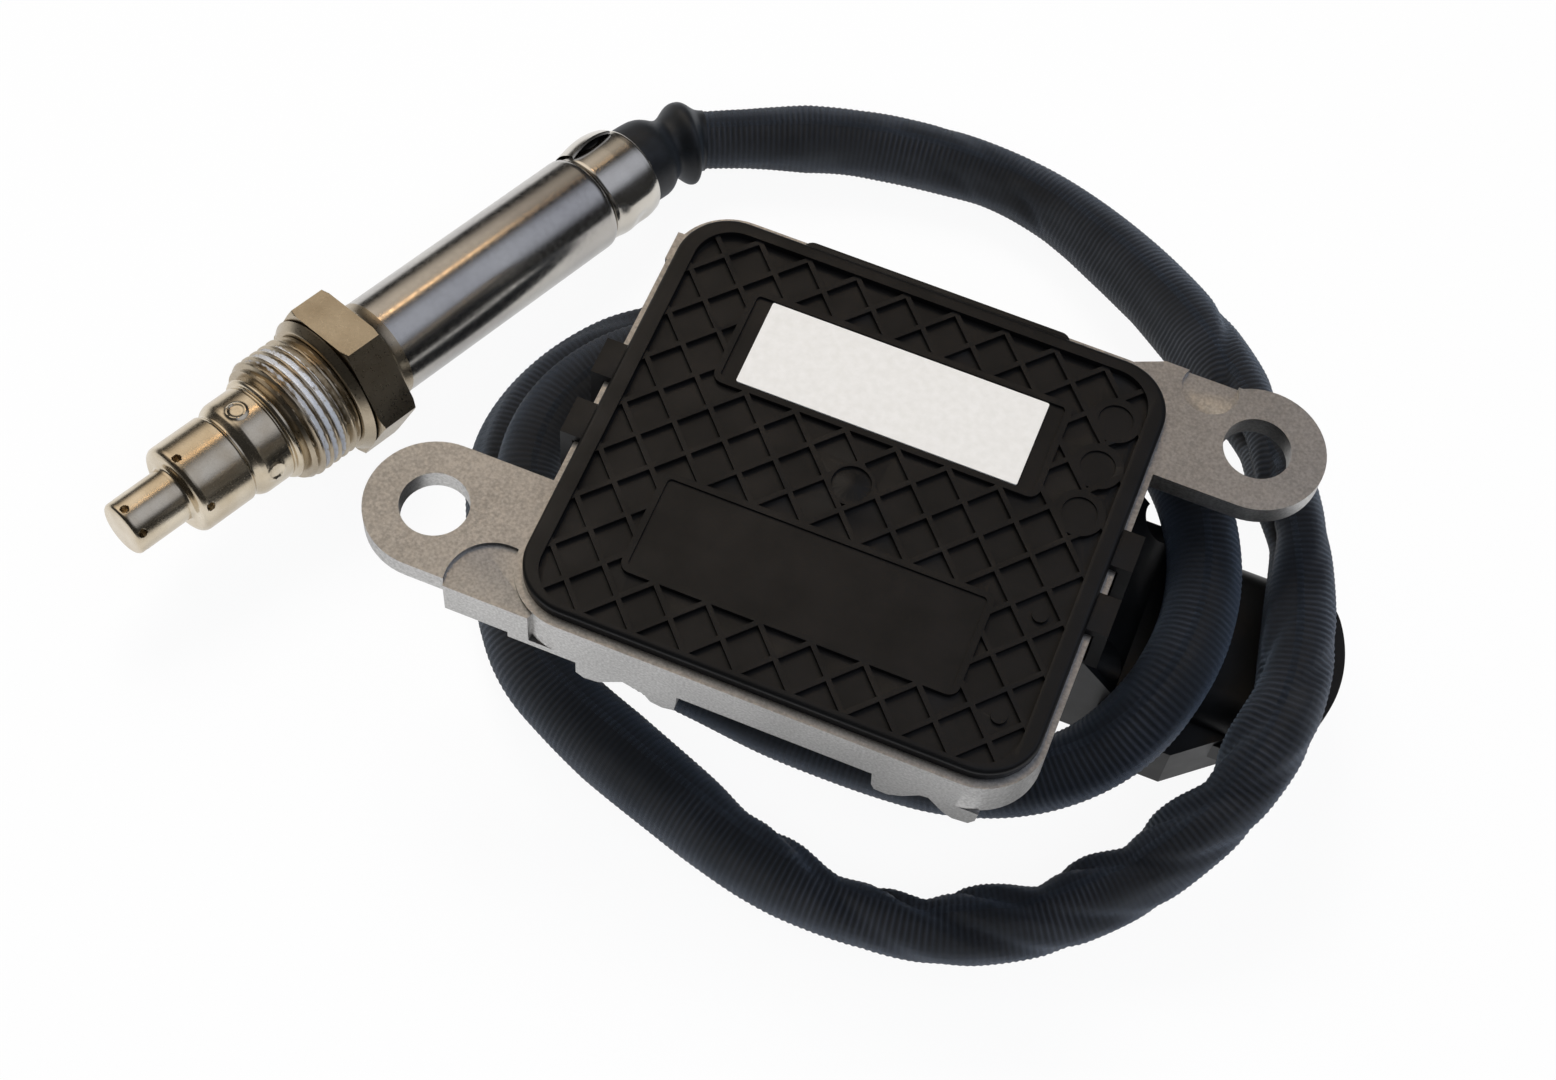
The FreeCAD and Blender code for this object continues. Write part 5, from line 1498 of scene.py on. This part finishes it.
@dataclass
class Boot:
    """Rubber boot: a tube along a bent path, with two ridges and a waist between them.

    Attributes:
        axis: The probe's axis.
        cable: Cable whose end it holds.
        role: What the boot stands for.
        start: Station of its front end.
        front: Length of the path's straight pull along the probe's axis.
        rear: Length of its pull along the cable.
        waist_r: Radius between the ridges.
        lip: Height of the lip round the cable, over the last tenth of the path.
        ridges: Height in millimetres, place and width along the path, and steepness of each ridge.
        rings: Rings of corners along the path.
        segments: Steps round it.
    """

    axis: ProbeAxis
    cable: Cable
    role: Role = Role("boot", "cable_boot", "black_rubber", RUBBER, 50.0)
    start: float = 100.0 * MM
    front: float = 9.6 * MM
    rear: float = 5.2 * MM
    waist_r: float = 4.75 * MM
    lip: float = 0.05 * MM
    ridges: Rows = ((1.85, 0.12, 0.27, 4.0), (1.95, 0.71, 0.15, 2.4))
    rings: int = 130
    segments: int = 72

    def path(self, t: Grid) -> Grid:
        """Quadratic curve from the collar to the cable's end through the bend's corner.

        Args:
            t: Place along the curve, from 0 to 1.

        Returns:
            Point at each place, one a row.
        """
        before, end = self.cable.points()[-2:]
        back = (end - before) / np.linalg.norm(end - before)
        corner = 0.5 * (self.axis.at(self.start + self.front) + end + back * self.rear)
        t = t[:, None]
        return self.axis.at(self.start) * (1 - t) ** 2 + corner * 2 * t * (1 - t) + end * t ** 2

    def radius(self, t: Grid) -> Grid:
        """Bell-shaped ridges on a waist, with a thin lip round the cable.

        Args:
            t: Place along the path, from 0 to 1.

        Returns:
            Radius at each place.
        """
        total = self.waist_r + self.lip * np.clip((t - 0.9) / 0.1, 0, 1)
        for height, place, width, power in self.ridges:
            total = total + height * MM * np.exp(-(np.abs(t - place) / width) ** power)
        return total

    def build(self) -> bpy.types.Object:
        """Make the boot."""
        t = np.linspace(0, 1, self.rings)
        return sweep(self.role, self.path(t), around(self.segments), self.radius(t)[:, None])


@dataclass
class EdgedCopy:
    """Copy of a CAD node with its loose triangles merged and its edges rounded by a bevel.

    Attributes:
        role: What the copy stands for.
        width: Width of the rounded edge.
        angle: Angle in degrees past which an edge is rounded.
        segments: Number of steps across the rounding.
        merge: Distance within which corners are merged.
        flat: Angle in degrees within which neighbouring faces are joined.
    """

    role: Role
    width: float = 0.18 * MM
    angle: float = 35.0
    segments: int = 2
    merge: float = 0.002 * MM
    flat: float = 0.5

    def build(self, frame: Dict[str, Any]) -> bpy.types.Object:
        """Copy, merge, dissolve flat neighbours and bevel.

        Args:
            frame: The loaded frame.

        Returns:
            The new object.
        """
        mesh = frame["nodes"][self.role.node].data.copy()
        made = bpy.data.objects.new(self.role.name, mesh)
        bpy.context.scene.collection.objects.link(made)
        work = bmesh.new()
        work.from_mesh(mesh)
        bmesh.ops.remove_doubles(work, verts=work.verts, dist=self.merge)
        bmesh.ops.dissolve_limit(work, angle_limit=math.radians(self.flat), verts=work.verts,
                                 edges=work.edges, use_dissolve_boundaries=False)
        work.to_mesh(mesh)
        work.free()
        self.role.take(made)
        rounded = made.modifiers.new("edges", "BEVEL")
        rounded.width = self.width
        rounded.segments = self.segments
        rounded.limit_method = "ANGLE"
        rounded.angle_limit = math.radians(self.angle)
        rounded.harden_normals = True
        return made


@dataclass(frozen=True)
class SkyPatch:
    """Pale patch of the studio's walls and ceiling, which shows in metal and gloss.

    Attributes:
        towards: Direction of its middle.
        core: Angle from the middle that is fully bright, in degrees.
        edge: Angle from the middle where it has faded out, in degrees.
        strength: Brightness of its core.
        colour: Its sRGB colour.
    """

    towards: Point
    core: float
    edge: float
    strength: float
    colour: str

    def light(self, tree: bpy.types.NodeTree, ray: bpy.types.NodeSocket) -> bpy.types.Node:
        """Brightness by the angle between the ray and the middle, times the colour.

        Args:
            tree: Node tree of the world.
            ray: Direction that is looked at.

        Returns:
            Node that gives the patch's light.
        """
        middle = tuple(Vector(self.towards).normalized())
        near = add(tree, "VectorMath", {0: ray, 1: middle}, operation="DOT_PRODUCT")
        share = add(tree, "MapRange", {"Value": near,
                                       "From Min": math.cos(math.radians(self.edge)),
                                       "From Max": math.cos(math.radians(self.core)),
                                       "To Min": 0.0, "To Max": self.strength},
                    interpolation_type="SMOOTHSTEP")
        return add(tree, "VectorMath", {0: srgb(self.colour)[:3], "Scale": share},
                   operation="SCALE")


@dataclass(frozen=True)
class SoftLamp:
    """Square soft lamp, which lights a surface without showing in its gloss.

    Attributes:
        name: Name of the lamp.
        place: Its place.
        size: Its width.
        power: Its power in watts.
        colour: Its sRGB colour.
    """

    name: str
    place: Point
    size: float
    power: float
    colour: str

    def build(self, target: Point) -> None:
        """Hang the lamp so that it faces a target.

        Args:
            target: Point that it faces.
        """
        data = bpy.data.lights.new(self.name, "AREA")
        data.size = self.size
        data.energy = self.power
        data.color = srgb(self.colour)[:3]
        made = bpy.data.objects.new(self.name, data)
        turn = (Vector(target) - Vector(self.place)).to_track_quat("-Z", "Y")
        made.matrix_world = Matrix.Translation(self.place) @ turn.to_matrix().to_4x4()
        made.visible_glossy = False
        bpy.context.scene.collection.objects.link(made)


@dataclass
class Studio:
    """Plain pale floor, soft light and the camera at the photograph's angle.

    Attributes:
        room: Grey of the dark room round the patches.
        patches: Pale patches of the walls and ceiling.
        lamps: Soft lamps, which face the target.
        position: Place of the camera, which looks along look with up upwards.
        focal_pixels: Focal length in pixels of the image's width.
        sensor: Width of the camera's sensor in millimetres.
        clip: Nearest and furthest distance that the camera sees.
        floor_size: Width of the floor.
        floor_grey: Grey of the floor's matte.
        camera_glow: Share of white that the camera sees in it.
        gloss_glow: Share of white that metal and gloss see in it near the object.
        middle: Middle of the table, which gloss sees as pale up to table_near and dark from
            table_far on.
        far_grey: Grey that gloss sees beyond the table.
        far_share: Share of the pale table that is left there.
    """

    room: float = 0.03
    patches: Tuple[SkyPatch, ...] = (
        SkyPatch((-0.60, 0.33, 0.73), 10.0, 40.0, 1.0, "#FFF1DF"),
        SkyPatch((0.50, 0.25, 0.83), 8.0, 36.0, 0.66, "#E6EDFF"),
        SkyPatch((-0.15, 0.55, 0.82), 1.8, 3.6, 5.5, "#FFCE94"),
    )
    lamps: Tuple[SoftLamp, ...] = (
        SoftLamp("key", (-0.35, 0.55, 0.75), 0.4, 6.0, "#FFFCF8"),
        SoftLamp("fill", (0.35, -0.45, 0.75), 0.6, 5.0, "#EAF1FF"),
    )
    target: Point = (0.03, 0.04, 0.0)
    position: Point = (89.18 * MM, -147.83 * MM, 314.24 * MM)
    look: Point = (-0.12708, 0.45642, -0.88064)
    up: Point = (-0.35110, 0.80966, 0.47030)
    focal_pixels: float = 2632.14
    sensor: float = 36.0
    clip: Tuple[float, float] = (0.01, 20.0)
    floor_size: float = 6.0
    floor_grey: float = 0.86
    camera_glow: float = 0.93
    gloss_glow: float = 0.6
    middle: Point = (0.03, 0.04, FLOOR_Z)
    table_near: float = 0.12
    table_far: float = 0.34
    far_grey: float = 0.03
    far_share: float = 0.1

    def camera(self) -> None:
        """Set the camera from its position, look and up vectors."""
        data = bpy.data.cameras.new("camera")
        data.sensor_fit = "HORIZONTAL"
        data.sensor_width = self.sensor
        data.lens = self.focal_pixels * self.sensor / IMAGE_WIDTH
        data.clip_start, data.clip_end = self.clip
        back = -Vector(self.look).normalized()
        right = Vector(self.up).cross(back).normalized()
        turn = Matrix((right, back.cross(right), back)).transposed().to_4x4()
        made = bpy.data.objects.new("camera", data)
        made.matrix_world = Matrix.Translation(self.position) @ turn
        bpy.context.scene.collection.objects.link(made)
        bpy.context.scene.camera = made

    def table(self) -> bpy.types.Material:
        """Make the floor's material: pale matte, white to the camera, and a table edge in gloss.

        Returns:
            The material.
        """
        material = bpy.data.materials.new("white table")
        material.use_nodes = True
        tree = material.node_tree
        tree.nodes.clear()
        rays = add(tree, "LightPath")
        where = add(tree, "TexCoord")
        matte = add(tree, "BsdfDiffuse", {"Color": grey(self.floor_grey)})
        glow = add(tree, "Emission", {"Color": grey(1.0), "Strength": 1.0})
        dark = add(tree, "Emission", {"Color": grey(self.far_grey), "Strength": 1.0})
        gone = add(tree, "VectorMath", {0: where.outputs["Object"], 1: self.middle},
                   operation="DISTANCE")
        near = add(tree, "MapRange", {"Value": gone, "From Min": self.table_near,
                                      "From Max": self.table_far,
                                      "To Min": 1.0, "To Max": self.far_share},
                   interpolation_type="SMOOTHSTEP")
        pale = add(tree, "MixShader", {"Fac": self.gloss_glow, 1: matte, 2: glow})
        mirrored = add(tree, "MixShader", {"Fac": near, 1: dark, 2: pale})
        share = add(tree, "Math", {0: rays.outputs["Is Camera Ray"], 1: self.camera_glow},
                    operation="MULTIPLY")
        plain = add(tree, "MixShader", {"Fac": share, 1: matte, 2: glow})
        mixed = add(tree, "MixShader", {"Fac": rays.outputs["Is Glossy Ray"], 1: plain,
                                        2: mirrored})
        add(tree, "OutputMaterial", {"Surface": mixed})
        return material

    def floor(self) -> None:
        """Lay the floor just below the object, as a piece of the stage."""
        half = self.floor_size / 2
        z = FLOOR_Z - FLOOR_GAP
        mesh = bpy.data.meshes.new("floor")
        mesh.from_pydata([(-half, -half, z), (half, -half, z), (half, half, z), (-half, half, z)],
                         [], [(0, 1, 2, 3)])
        mesh.materials.append(self.table())
        made = bpy.data.objects.new("floor", mesh)
        bpy.context.scene.collection.objects.link(made)

    def world(self) -> None:
        """Make the world: white to the camera, a dark room with pale patches to all other rays."""
        made = bpy.data.worlds.new("studio")
        bpy.context.scene.world = made
        made.use_nodes = True
        tree = made.node_tree
        tree.nodes.clear()
        where = add(tree, "TexCoord")
        bright = add(tree, "CombineXYZ", {"X": self.room, "Y": self.room, "Z": self.room})
        for patch in self.patches:
            bright = add(tree, "VectorMath",
                         {0: bright, 1: patch.light(tree, where.outputs["Generated"])},
                         operation="ADD")
        rays = add(tree, "LightPath")
        soft = add(tree, "Background", {"Color": bright, "Strength": 1.0})
        white = add(tree, "Background", {"Color": grey(1.0), "Strength": 1.0})
        mixed = add(tree, "MixShader", {"Fac": rays.outputs["Is Camera Ray"], 1: soft, 2: white})
        add(tree, "OutputWorld", {"Surface": mixed})

    def build(self) -> None:
        """Set the whole studio."""
        bpy.context.scene.view_settings.view_transform = "Standard"
        self.camera()
        self.floor()
        self.world()
        for lamp in self.lamps:
            lamp.build(self.target)


def main() -> None:
    """Dress the frame, build the new pieces and set the studio."""
    logging.basicConfig(level=logging.INFO, format="%(name)s: %(message)s")
    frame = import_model()
    for node, finish in NODE_FINISH.items():
        wear(frame["nodes"][node], finish)
    Studio().build()
    axis = ProbeAxis()
    cable = Cable()
    pieces = [
        cable.build(),
        Boot(axis, cable).build(),
        ThreadedBody(axis).build(),
        SealRing(axis).build(),
        ProtectionTube(axis).build(),
        LongTube(axis).build(),
        *CrimpCollar(axis).build(),
        EdgedCopy(Role("lid", "cover", "cover_plastic", LID_PLASTIC, 30.0)).build(frame),
        EdgedCopy(Role("casting", "housing", "cast_aluminium", CASTING, 30.0),
                  width=0.3 * MM).build(frame),
    ]
    for piece in pieces:
        log.info("%s: %d faces", piece.name, len(piece.data.polygons))


if __name__ == "__main__":
    main()
